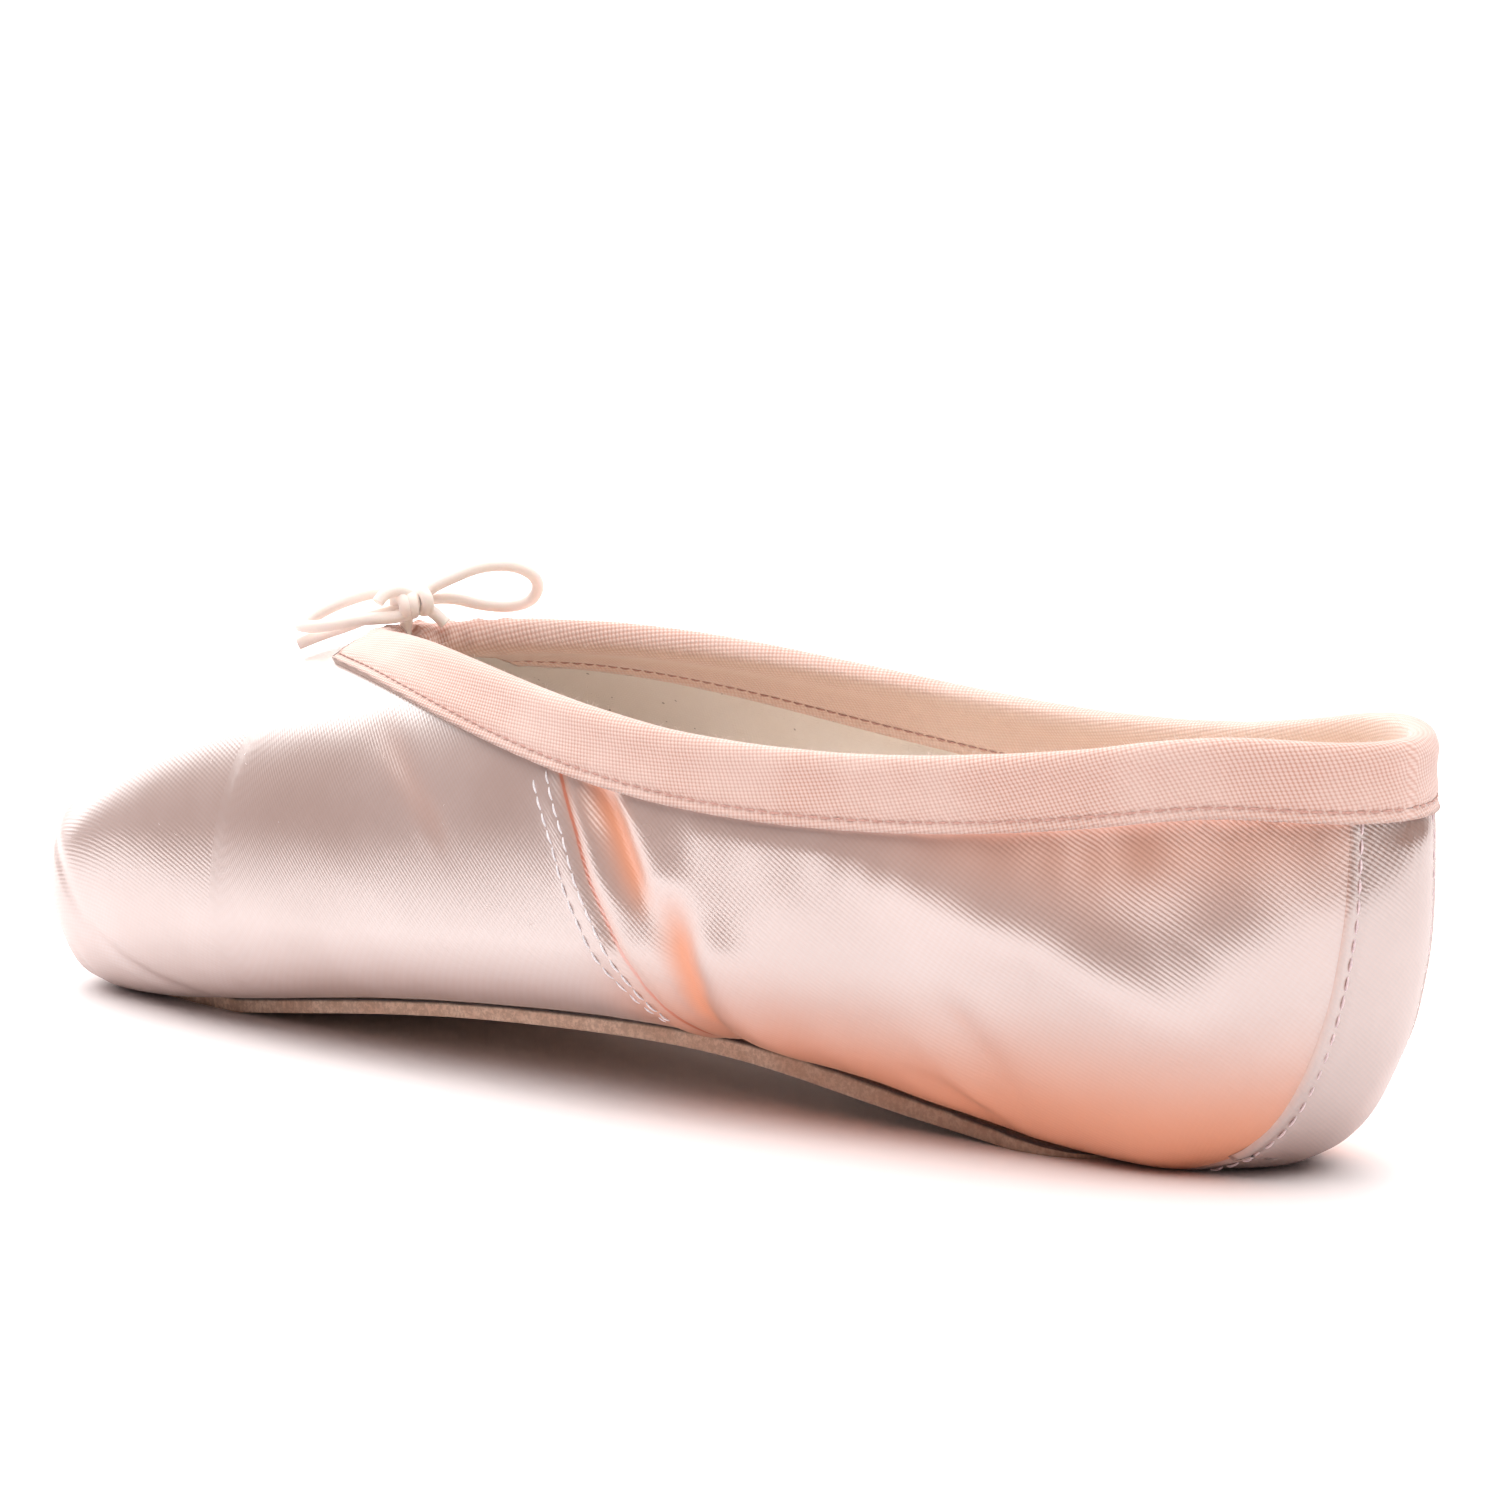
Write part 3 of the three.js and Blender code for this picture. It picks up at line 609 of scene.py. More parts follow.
# ---- meshes
def add_object(name, points, faces, material, uv=None, values=None):
    """A mesh object from points in millimetres. uv is a pair for each corner of each face."""
    mesh = bpy.data.meshes.new(name)
    faces = faces.tolist() if isinstance(faces, np.ndarray) else faces
    mesh.from_pydata((np.asarray(points) * MM).tolist(), [], faces)
    if uv is not None:
        layer = mesh.uv_layers.new(name="cloth")
        layer.data.foreach_set("uv", np.asarray(uv, np.float32).ravel())
    for key, value in (values or {}).items():
        mesh.attributes.new(key, "FLOAT", "POINT").data.foreach_set("value", np.asarray(value, np.float32))
    mesh.polygons.foreach_set("use_smooth", [True] * len(mesh.polygons))
    mesh.materials.append(material)
    mesh.update()
    return placed(name, mesh)


def grid_faces(rows, columns, around=False):
    """Quads over a grid of rows times columns points, closed across the columns if around."""
    across = columns if around else columns - 1
    i, j = np.meshgrid(np.arange(rows - 1), np.arange(across), indexing="ij")
    n = (j + 1) % columns
    quads = np.stack([i * columns + j, i * columns + n, (i + 1) * columns + n, (i + 1) * columns + j], -1)
    return quads.reshape(-1, 4)


def along_path(points):
    steps = np.linalg.norm(np.diff(points, axis=0), axis=-1)
    return np.concatenate([[0], np.cumsum(steps)])


def between(points, way, at):
    """Points or directions at distances along a line of them."""
    return np.stack([np.interp(at, way, points[:, k]) for k in range(points.shape[1])], -1)


def resample(points, count):
    """count points evenly spaced along a line of points."""
    points = np.asarray(points, float)
    way = along_path(points)
    return between(points, way, np.linspace(0, 1, count) * way[-1])


def curve_through(points, count):
    """A smooth curve through points, as count points evenly along it."""
    points = np.asarray(points, float)
    knots = along_path(points)
    fine = np.linspace(0, knots[-1], FINE_POINTS * len(points))
    columns = [spline(knots, points[:, k], level=False)(fine) for k in range(points.shape[1])]
    return resample(np.stack(columns, -1), count)


# ---- cords
def cord_curve(name, points, material):
    data = bpy.data.curves.new(name, "CURVE")
    data.dimensions = "3D"
    data.bevel_depth = CORD_DIAMETER / 2 * MM
    data.bevel_resolution = 5
    data.use_fill_caps = True
    line = data.splines.new("POLY")
    fine = curve_through(points, CORD_POINTS) * MM
    line.points.add(len(fine) - 1)
    for point, where in zip(line.points, fine):
        point.co = (*where, 1)
    line.use_smooth = True
    data.materials.append(material)
    return placed(name, data), along_path(fine)[-1]


def frames_along(path):
    """Two unit vectors square to a path at each of its points, turning as little as they can."""
    ahead = unit(np.gradient(path, axis=0))
    ones = [unit(np.cross(ahead[0], UNLIKE_ANY))]
    for k in range(1, len(path)):
        prior = ones[-1]
        ones.append(unit(prior - ahead[k] * prior.dot(ahead[k])))
    ones = np.array(ones)
    return ones, np.cross(ahead, ones)


def tube(path, radius, sides):
    """Points and faces of a tube along a path, open at both ends."""
    path = np.asarray(path, float)
    radius = np.broadcast_to(np.asarray(radius, float), (len(path),))
    one, two = frames_along(path)
    angle = np.arange(sides) / sides * 2 * math.pi
    ring = np.cos(angle)[None, :, None] * one[:, None] + np.sin(angle)[None, :, None] * two[:, None]
    points = path[:, None] + ring * radius[:, None, None]
    return points.reshape(-1, 3), grid_faces(len(path), sides, around=True)


def ring_faces(rings, uv, flip):
    """Faces and their corners' cloth coordinates over rings of points, closed around and at both ends."""
    count = rings.shape[1]
    uv = uv.reshape(-1, 2)
    quads = grid_faces(len(rings), count, around=True)
    quads = quads[:, ::-1] if flip else quads
    faces = quads.tolist()
    corner_uv = uv[quads].reshape(-1, 2).tolist()
    order = 1 if flip else -1
    for first, turn in ((0, order), (len(rings) * count - count, -order)):
        cap = [first + k for k in range(count)][::turn]
        faces.append(cap)
        corner_uv.extend(uv[cap].tolist())
    return faces, corner_uv


def joined(parts):
    """Points and faces of several meshes as one."""
    points, faces, start = [], [], 0
    for p, f in parts:
        points.append(p)
        faces.append(np.asarray(f) + start)
        start += len(p)
    return np.concatenate(points), np.concatenate(faces)


def make_drawstring():
    cotton = cord_cotton("drawstring_cotton")
    along = unit(np.array(KNOT_AXIS))
    across = unit(np.cross(along, [0, 0, 1]))
    upward = np.cross(across, along)
    angle = np.linspace(0, 2 * math.pi, 60)[:, None]
    turns = []
    for shift, lean in KNOT_TURNS:
        slide = shift + lean * np.cos(angle)
        ring = across * KNOT_REACH[0] * np.cos(angle) + upward * KNOT_REACH[1] * np.sin(angle)
        turns.append(tube(np.array(KNOT_CENTRE) + along * slide + ring, CORD_DIAMETER / 2, 14))
    points, faces = joined(turns)
    knot = add_object("drawstring_knot_turns", points, faces, cotton, np.zeros((faces.size, 2)))
    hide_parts("drawstring_knot")
    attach(knot, "root")
    covers = {
        "drawstring_strand_a": ["bow_loop_far", "drawstring_end_long"],
        "drawstring_strand_b": ["bow_loop_near", "drawstring_end_short"],
    }
    for name, points in STRANDS.items():
        strand, length = cord_curve(name, points, cotton)
        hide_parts(*covers[name])
        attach(strand, "root")
        print(name, "length", round(length, 4))


make_camera()
make_world()
make_floor()
make_drawstring()


# ---- the upper's cloth
# Soft folds in the satin. depth is a trough's, and less than 0 for a ridge. points are pairs of the
# distance from the back of the heel and the height.
# painted_warm_shade is how much painted orange shade lies along a fold
FOLD_COLUMNS = ["side", "depth", "width", "painted_warm_shade", "points"]
FOLDS = [
    [1, -0.35, 1.3, 0, [[110, 47], [107, 42], [103.4, 36.3], [100, 30], [96, 24]]],
    [1, 1.35, 2.5, 0.9, [[107.5, 47], [103.5, 42], [99, 37], [95, 31], [91, 24]]],
    [1, -0.7, 3.4, 0, [[102, 46], [97.5, 41], [93, 34.5], [88, 25]]],
    [1, 1.5, 2.8, 1, [[89.5, 32], [88, 24], [87, 18], [88, 12], [90, 4]]],
    [1, -0.6, 3.2, 0, [[83, 28], [80.5, 21], [79, 13], [79, 5]]],
    [1, 0.3, 2.2, 0.1, [[151, 48], [146, 44], [140, 40], [133, 35], [127, 28]]],
    [1, -0.25, 1.8, 0, [[148, 45], [142, 40], [136, 36], [128, 29]]],
    [1, -1.05, 5.5, 0, [
        [80, 42], [64, 36.5], [46, 32], [34, 28], [24, 23], [18, 21.5], [12, 27], [8, 36], [2, 52],
    ]],
    [1, 0.8, 10, 0.5, [[76, 54], [60, 48], [44, 45], [28, 43], [8, 47], [-20, 60]]],
    [1, 0.8, 2.6, 0.4, [[51, 22], [47, 17], [44, 12], [42, 4]]],
    [1, -0.5, 2.2, 0, [[56, 17], [51, 12], [48, 8], [46, 3]]],
    [1, 0.5, 1.6, 0.3, [[60, 10], [54, 8], [49, 5], [44, 2]]],
    [-1, 1.3, 2.8, 0.8, [[109, 46], [104, 39], [99, 32], [95, 26]]],
    [-1, 1.2, 3.2, 0.8, [[88, 29], [88, 22], [88, 14], [90, 6]]],
    [-1, -0.6, 3, 0, [[82, 28], [80, 20], [79, 13], [80, 6]]],
    [-1, 0.4, 2, 0.1, [[146, 46], [140, 41], [135, 36], [130, 31]]],
    [-1, -0.9, 8, 0, [[80, 39], [60, 35], [42, 32], [28, 27], [18, 26], [8, 34]]],
    [-1, 0.7, 2.6, 0.3, [[56, 20], [51, 14], [47, 9], [45, 3]]],
    [-1, 0.5, 2, 0.2, [[38, 18], [36, 12], [36, 7], [37, 2]]],
]
# The seam between vamp and quarter on both sides, and the platform's edge around the toe
SEAM = [
    [113.5, 48], [110.7, 43], [106, 36.3], [102.6, 30], [98.7, 24], [95, 18.5], [93.2, 13], [93, 7], [93, 0],
]
SEAM_SHAPE = [(-0.4, 0, 0.7), (0.3, 2.2, 1.7)]    # heights, places in front of it and widths
PLATFORM = [[226, 24], [217, 19], [210.5, 12], [203, 7.3], [194, 4.2], [184, 2.6]]
LINING_SEAM = [[88, 56], [86, 40], [84, 20], [83, 0]]
PLATFORM_GROOVE = 0.45
PLEATS = 26
PLEAT_DEPTH = 0.28
PLEAT_CENTRE = 211
GATHER_DEPTH = 0.16           # of the puckers below the casing
COLLAR_REACH = 176            # the collar's edge stays level in front of here


def line_distance(back, height, points):
    """Distance to a line of points, its share of the way along, and the side that it is on."""
    best = np.full(back.shape, 1e9)
    share = np.zeros(back.shape)
    side = np.ones(back.shape)
    points = np.asarray(points, float)
    way = along_path(points)
    for k in range(len(points) - 1):
        a, d = points[k], points[k + 1] - points[k]
        t = np.clip(((back - a[0]) * d[0] + (height - a[1]) * d[1]) / (d @ d), 0, 1)
        across, up = back - a[0] - t * d[0], height - a[1] - t * d[1]
        distance = np.hypot(across, up)
        nearer = distance < best
        best = np.where(nearer, distance, best)
        share = np.where(nearer, (way[k] + t * np.sqrt(d @ d)) / way[-1], share)
        side = np.where(nearer, np.sign(up * d[0] - across * d[1]), side)
    return best, share, side


def unevenness(p, size, seed):
    """A smooth random field between about -1 and 1 with bumps of about a size."""
    rng = np.random.default_rng(seed)
    total = np.zeros(p.shape[:-1])
    for _ in range(FIELD_WAVES):
        wave = unit(rng.normal(size=3)) * 2 * math.pi / (size * rng.uniform(0.7, 1.6))
        total += np.sin(p @ wave + rng.uniform(0, 2 * math.pi))
    return total / FIELD_SWING


def section_rows(runs, offset_at, count):
    """For each run, count points from the middle of the underside up to the collar's edge or ridge."""
    rows, ways = [], []
    for run, top in zip(runs, edge_angle(runs)):
        s = section(run, offset_at(run))
        flat = np.linspace(0, 1, 8, endpoint=False) * s["flat"]
        lower = lower_point(s, np.linspace(0, math.pi / 2, 60, endpoint=False))
        upper = upper_point(s, top * (1 - (1 - np.linspace(0, 1, 120)) ** 1.5))
        reach = np.concatenate([flat, lower[0], upper[0]])
        height = np.concatenate([np.full(8, s["base"]), lower[1], upper[1]])
        line = resample(np.stack([reach, height], -1), count)
        rows.append(line)
        ways.append(along_path(line)[-1] - along_path(line))
    return np.array(rows), np.array(ways)


TOE_RUN = 228                 # the sections lie closer together in front of here
HEEL_ROWS = 42
BODY_ROWS = 190
TIP_ROWS = 34
TIP_COLUMNS = 22              # across the platform
SATIN_COLUMNS = 92            # from the middle of the underside up each side
LINING_COLUMNS = 74


def shell_runs():
    heel = np.linspace(0, FAN_RUN, HEEL_ROWS, endpoint=False)
    body = np.linspace(FAN_RUN, TOE_RUN, BODY_ROWS)
    tip = TOE_RUN + (TIP_RUN - TOE_RUN) * np.sin(np.linspace(0, math.pi / 2, TIP_ROWS)[1:])
    return np.concatenate([heel, body, tip])


def shell(offset_at, count, outward):
    """The whole last as a welded grid with cloth coordinates: points, faces, uv."""
    runs = shell_runs()
    rows, ways = section_rows(runs, offset_at, count)
    offsets = np.array([offset_at(r) for r in runs])
    points, uvs, faces, ends = [], [], [], []
    start = 0
    for side in (1, -1):
        grid = place(runs[:, None], rows[..., 0], rows[..., 1], side, offsets[:, None])
        uv = np.stack([np.broadcast_to(runs[:, None], ways.shape), side * ways], -1)
        quads = grid_faces(len(runs), count)
        faces.append((quads if side * outward > 0 else quads[:, ::-1]) + start)
        points.append(grid.reshape(-1, 3))
        uvs.append(uv.reshape(-1, 2))
        ends.append(grid[-1])
        start += len(points[-1])
    t = np.linspace(0, 1, TIP_COLUMNS)
    tip = ends[0][:, None] * (1 - t)[None, :, None] + ends[1][:, None] * t[None, :, None]
    tip_uv = np.stack([TIP_RUN + (tip[..., 2] - tip[0, 0, 2]), tip[..., 1]], -1)
    quads = grid_faces(count, TIP_COLUMNS)
    faces.append((quads[:, ::-1] if outward > 0 else quads) + start)
    points.append(tip.reshape(-1, 3))
    uvs.append(tip_uv.reshape(-1, 2))
    return weld(np.concatenate(points), np.concatenate(faces), np.concatenate(uvs))


def weld(points, faces, uvs):
    """Joins points in the same place. Faces are lists with their repeated corners taken out."""
    keys = np.round(points * WELD_STEPS).astype(np.int64)
    _, first, index = np.unique(keys, axis=0, return_index=True, return_inverse=True)
    index = index.ravel()
    kept, corner_uv = [], []
    for face in faces:
        corners, seen = [], set()
        for corner in face:
            if index[corner] not in seen:
                seen.add(index[corner])
                corners.append(corner)
        if len(corners) > 2:
            kept.append([int(index[c]) for c in corners])
            corner_uv.extend(uvs[corners].tolist())
    return points[first], kept, corner_uv


def edges_of(faces):
    pairs = set()
    for face in faces:
        for k, a in enumerate(face):
            b = face[(k + 1) % len(face)]
            pairs.add((min(a, b), max(a, b)))
    return np.array(sorted(pairs))


def relax(points, faces, share, times):
    """Moves each point towards its neighbours' middle by its share, several times."""
    edges = edges_of(faces)
    count = np.zeros(len(points))
    np.add.at(count, edges.ravel(), 1)
    for _ in range(times):
        total = np.zeros_like(points)
        np.add.at(total, edges[:, 0], points[edges[:, 1]])
        np.add.at(total, edges[:, 1], points[edges[:, 0]])
        points = points + (total / count[:, None] - points) * share[:, None]
    return points


def normals_of(points, faces):
    total = np.zeros_like(points)
    for size in (3, 4):
        some = np.array([face for face in faces if len(face) == size])
        corners = points[some]
        if size == 3:
            cross = np.cross(corners[:, 1] - corners[:, 0], corners[:, 2] - corners[:, 0])
        else:
            cross = np.cross(corners[:, 2] - corners[:, 0], corners[:, 3] - corners[:, 1])
        for k in range(size):
            np.add.at(total, some[:, k], cross)
    return unit(total)


def edge_height(back):
    return collar_height(np.clip(back, 0, COLLAR_REACH))


def satin_relief(p):
    """How far the satin stands out from the last at each point, how much orange shade is painted in its
    folds and low parts, and the seam.
    """
    back, height, side = back_of(p), p[:, 2], np.sign(p[:, 1])
    relief = np.zeros(len(p))
    painted_warm_shade = np.zeros(len(p))
    # each fold lays its share of painted orange shade along it
    for row in FOLDS:
        fold = dict(zip(FOLD_COLUMNS, row))
        distance, share, _ = line_distance(back, height, fold["points"])
        ends = smooth(share, -0.01, 0.35) * smooth(share, 1.01, 0.65)
        shape = bell(distance, 0, fold["width"]) * ends * (side == fold["side"])
        relief -= fold["depth"] * shape
        painted_warm_shade = np.maximum(painted_warm_shade, fold["painted_warm_shade"] * shape)
    distance, _, front = line_distance(back, height, SEAM)
    seam = distance * front
    relief += sum(rise * bell(seam, middle, width) for rise, middle, width in SEAM_SHAPE)
    distance, share, _ = line_distance(back, height, PLATFORM)
    relief -= PLATFORM_GROOVE * bell(distance, 0, 1.1) * smooth(share, 1.0, 0.8) * smooth(share, 0.0, 0.12)
    angle = np.arctan2(p[:, 1], back - PLEAT_CENTRE)
    spread = np.hypot(p[:, 1], back - PLEAT_CENTRE)
    under = smooth(height, 9, 3) * smooth(back, 209, 214) * smooth(spread, 2, 7)
    relief += PLEAT_DEPTH * under * np.cos(angle * PLEATS + 2 * np.sin(3 * angle))
    soft = smooth(back, 125, 70)
    below = edge_height(back) - height
    gathers = np.sin(back * 0.85 + 1.5 * np.sin(back * 0.21)) * bell(below, 9, 5)
    relief += GATHER_DEPTH * gathers * soft * (below > 6)
    relief += unevenness(p, 34, 3) * (0.10 + 0.35 * soft) + unevenness(p, 11, 5) * (0.02 + 0.08 * soft)
    covered = smooth(below, TAPE_WIDTH + 3, TAPE_WIDTH - 1.5)
    relief = np.where(covered > 0, relief * (1 - covered) + np.minimum(relief, 0.05) * covered, relief)
    sunk = smooth(height, 0.6, 3)
    relief = relief * np.where(relief < 0, sunk * 0.9 + 0.1, sunk)
    # painted orange shade low on the quarters towards the heel, and in the seam's groove
    painted_warm_shade = np.maximum(painted_warm_shade, (0.04 + 0.9 * smooth(height, 25, 4)) * smooth(back, 108, 92))
    painted_warm_shade = np.maximum(painted_warm_shade, 0.35 * bell(seam, -0.4, 0.9))
    return relief, painted_warm_shade, seam


def make_satin():
    points, faces, uv = shell(lambda run: 0.0, SATIN_COLUMNS, 1)
    back = back_of(points)
    points = relax(points, faces, 0.5 * smooth(back, 224, 231), 14)
    relief, painted_warm_shade, seam = satin_relief(points)
    points = points + normals_of(points, faces) * relief[:, None]
    soil = 0.4 * bell(back, 10, 9) * smooth(points[:, 2], 41, 46)
    values = {"painted_warm_shade": painted_warm_shade, "seam": seam, "grime": soil}
    made = add_object("satin_upper", points, faces, satin("satin"), uv, values)
    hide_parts("upper")
    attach(made, "root")


def make_lining():
    points, faces, uv = shell(lambda run: -float(last["wall"](run)), LINING_COLUMNS, -1)
    back = back_of(points)
    distance, _, front = line_distance(back, points[:, 2], LINING_SEAM)
    lining = distance * front
    relief = 0.35 * bell(lining, -1, 1.2) * (lining < 1) + 0.22 * unevenness(points, 16, 8)
    relief += np.maximum(0, -satin_relief(points)[0] - 0.2)
    relief = relief * smooth(edge_height(back) - points[:, 2], 8, 12)
    points = points + normals_of(points, faces) * relief[:, None]
    made = add_object("lining", points, faces, canvas("lining_canvas"), uv, {"lining": lining, "back": back})
    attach(made, "root")


# ---- drawstring casing
TAPE_STATIONS = 250
TAPE_LEVELS = 12
TAPE_CUT_BACK = 172.3         # the slanted cut at its front end: way from the heel at its lower corner
TAPE_CUT_SIDE = 13.3
TAPE_CUT_SLANT = 0.27
THROAT_HALF = 0.9             # from the shoe's middle to the tape's end at the throat
TAPE_STITCH = 0.85            # share of its width at which it is stitched down
TAPE_PLAIN = 14               # stations without stitches, next to the throat


def tape_edge():
    """The collar's edge on the left, from the middle of the heel to the throat."""
    runs = THROAT_RUN * (1 - (1 - np.linspace(0, 1, 700)) ** 2)
    s = section(runs, 0)
    reach, height = upper_point(s, edge_angle(runs))
    edge = place(runs, reach, height, 1)
    return resample(edge[edge[:, 1] > THROAT_HALF * (runs > FAN_RUN)], TAPE_STATIONS)


def tape_sections():
    """For each station, the places, outward directions and walls at levels down the tape's width."""
    edge = tape_edge()
    ahead = np.gradient(edge, axis=0)
    ahead[0] = [0, 1, 0]
    spot = edge.copy()
    out = last_normal(spot)
    down = unit(np.cross(out, ahead))
    levels = []
    for _ in range(TAPE_LEVELS + 1):
        levels.append((spot, out))
        moved = onto_last(spot + down * (TAPE_WIDTH / TAPE_LEVELS))
        limit = TAPE_CUT_BACK + (TAPE_CUT_SIDE - moved[:, 1]) * TAPE_CUT_SLANT
        over = back_of(moved) > limit
        spot = np.where(over[:, None], spot + down * 0.04, moved)
        out = last_normal(spot)
        down = unit(down - out * (down * out).sum(-1, keepdims=True))
    spots = np.array([level[0] for level in levels])
    outs = np.array([level[1] for level in levels])
    return spots, outs, unit(np.cross(outs[0], ahead))


def tape_rings(side):
    """The tape's cross-sections on one side, heel to throat, as rings of points, with cloth coordinates."""
    spots, outs, down = tape_sections()
    mirror = np.array([1, side, 1])
    way = along_path(spots[0])
    walls = wall_at(spots)
    near_throat = smooth(way, way[-1] - 22, way[-1] - 4)
    gather = near_throat * (1.0 if side < 0 else 0.25)
    ripple = np.sin(way * 1.5 + side) * gather * 0.7 + unevenness(spots[0] * mirror, 12, 21) * 0.12
    rings, uvs = [], []
    share = np.linspace(0, 1, TAPE_LEVELS + 1)
    pulled = bell(share, TAPE_STITCH, 0.06)
    swell = 0.8 + 0.55 * bell(share, 0.12, 0.2) - 0.38 * pulled + 0.1 * (share > 0.93)
    for k in range(TAPE_LEVELS, -1, -1):
        offset = swell[k] + ripple * (0.4 + 0.6 * (1 - share[k])) * 0.6
        rings.append(spots[k] + outs[k] * np.maximum(0.35, offset)[:, None])
        uvs.append(np.full(len(way), share[k] * TAPE_WIDTH))
    lift = 1.25 + 0.5 * ripple + (1.9 * gather if side < 0 else 0.0)
    for turn in np.linspace(0, math.pi, 11)[1:-1]:
        outer, inner = swell[0] - 0.1, -walls[0] - swell[0] + 0.1
        middle, half = (outer + inner) / 2, (outer - inner) / 2
        rise = lift * math.sin(turn) ** 0.8
        rings.append(spots[0] + outs[0] * (middle + half * math.cos(turn))[:, None] - down * rise[:, None])
        uvs.append(np.full(len(way), -turn * 1.3))
    for k in range(TAPE_LEVELS + 1):
        offset = -walls[k] - swell[k] - ripple * 0.3
        rings.append(spots[k] + outs[k] * offset[:, None])
        uvs.append(np.full(len(way), -math.pi * 1.3 - share[k] * TAPE_WIDTH))
    rings.append(spots[-1] + outs[-1] * (-walls[-1] + 0.1)[:, None])
    rings.append(spots[-1] - outs[-1] * 0.1)
    uvs += [np.zeros(len(way)), np.zeros(len(way))]
    rings = np.stack(rings, 1) * mirror
    cross = np.stack(uvs, 1)
    return rings, np.stack([np.broadcast_to(side * way[:, None], cross.shape), cross], -1)


def make_tape():
    left, left_uv = tape_rings(1)
    right, right_uv = tape_rings(-1)
    rings = np.concatenate([left[::-1], right[1:]])
    uv = np.concatenate([left_uv[::-1], right_uv[1:]])
    faces, corner_uv = ring_faces(rings, uv, True)
    # where the inside of the casing gets its painted light
    inner = np.zeros(rings.shape[:2])
    inner[:, TAPE_LEVELS + 1:] = smooth(np.arange(rings.shape[1] - TAPE_LEVELS - 1), 4, 10)
    made = add_object("drawstring_casing", rings.reshape(-1, 3), faces, tape_cloth("casing_tape"), corner_uv,
                      {"inner": inner.ravel()})
    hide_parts("collar_binding")
    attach(made, "root")


# ---- heel strip
STRIP_WIDTH = [[0, 8], [16, 9.2], [34, 10], [60, 11.2], [90, 10.6]]
STRIP_END_BACK = 39


def strip_spine():
    """Down the middle of the heel's back and forward beneath it, as points of x and z."""
    s = section(0.0, 0)
    upper = upper_point(s, np.linspace(float(edge_angle(np.array([0.0]))[0]), 0, 60, endpoint=False))
    lower = lower_point(s, np.linspace(math.pi / 2, 0, 60, endpoint=False))
    reach = np.concatenate([upper[0], lower[0]])
    height = np.concatenate([upper[1], lower[1]])
    ahead = np.linspace(HEEL_CENTRE - float(s["flat"]), STRIP_END_BACK, 12)
    back = np.concatenate([HEEL_CENTRE - reach, ahead])
    height = np.concatenate([height, base_at(np.maximum(ahead - HEEL_CENTRE, 0) + FAN_RUN)])
    return resample(np.stack([back - LENGTH / 2, height], -1), 110)


def strip_points(across):
    """Places on the last at signed distances across the strip, a row for each point of its spine."""
    spine = strip_spine()
    way = along_path(spine)
    half = np.interp(way, [row[0] for row in STRIP_WIDTH], [row[1] for row in STRIP_WIDTH])
    y = half[:, None] * across[None, :]
    reach = np.maximum(12, HEEL_CENTRE - back_of(spine))
    forward = np.where((spine[:, 1] > 2)[:, None], y ** 2 / (2 * reach[:, None]), 0)
    start = np.stack([spine[:, 0][:, None] + forward, y, np.broadcast_to(spine[:, 1][:, None], y.shape)], -1)
    spot = onto_last(start)
    return spot, last_normal(spot), way, y


def strip_relief(spot):
    """The satin's relief beneath the strip, evened out across the middle of the heel."""
    relief = satin_relief(spot.reshape(-1, 3))[0].reshape(spot.shape[:-1])
    middle = smooth(np.abs(spot[..., 1]), 3, 0)
    even = (relief + relief[:, ::-1]) / 2
    return relief * (1 - middle) + even * middle


def make_strip():
    across = np.linspace(-1, 1, 41)
    spot, out, way, y = strip_points(across)
    half = np.abs(y[:, -1:])
    inward = half - np.abs(y)
    thick = 0.62 * smooth(inward, -0.01, 0.45) + 0.1 * bell(inward, 0.7, 0.5)
    thick -= 0.3 * bell(inward, 1.7, 0.4)
    low = smooth(spot[..., 2], 0.2, 4)
    thick = thick * (0.35 + 0.65 * low) + 0.1 * unevenness(spot, 14, 31) * low - 0.12
    relief = strip_relief(spot)
    points = (spot + out * (relief + thick)[..., None]).reshape(-1, 3)
    quads = grid_faces(len(way), len(across))
    uv = np.stack([y, np.broadcast_to(way[:, None], y.shape)], -1).reshape(-1, 2)
    # painted orange shade along the strip's edges, where it meets the satin
    painted_warm_shade = 0.35 * bell(inward, 0, 0.35)
    grime = (0.45 * smooth(way, 20, 9)[:, None] * (0.55 + 0.45 * smooth(y, -2, 6))).ravel()
    values = {"painted_warm_shade": painted_warm_shade.ravel(), "grime": grime}
    # the strip's satin in its darker colours: painted shade
    cloth = satin("strip_satin", False, STRIP_SHADED_DARK, STRIP_SHADED_LIGHT)
    made = add_object("heel_strip", points, quads, cloth, uv[quads].reshape(-1, 2), values)
    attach(made, "root")


# ---- stitches
def stitch_rows(name, rows, material, pitch=2.3, length=1.7, radius=0.17):
    """One mesh of short threads along rows of points and outward directions."""
    parts = []
    for points, outs in rows:
        way = along_path(points)
        for start in np.arange(0.4, way[-1] - length, pitch):
            at = start + np.linspace(0, 1, 7) * length
            arch = np.sin(np.linspace(0, math.pi, 7))
            rise = unit(between(outs, way, at)) * (0.16 * arch - 0.06)[:, None]
            parts.append(tube(between(points, way, at) + rise, radius * (0.55 + 0.45 * arch), 6))
    points, faces = joined(parts)
    made = add_object(name, points, faces, material)
    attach(made, "root")
    return made


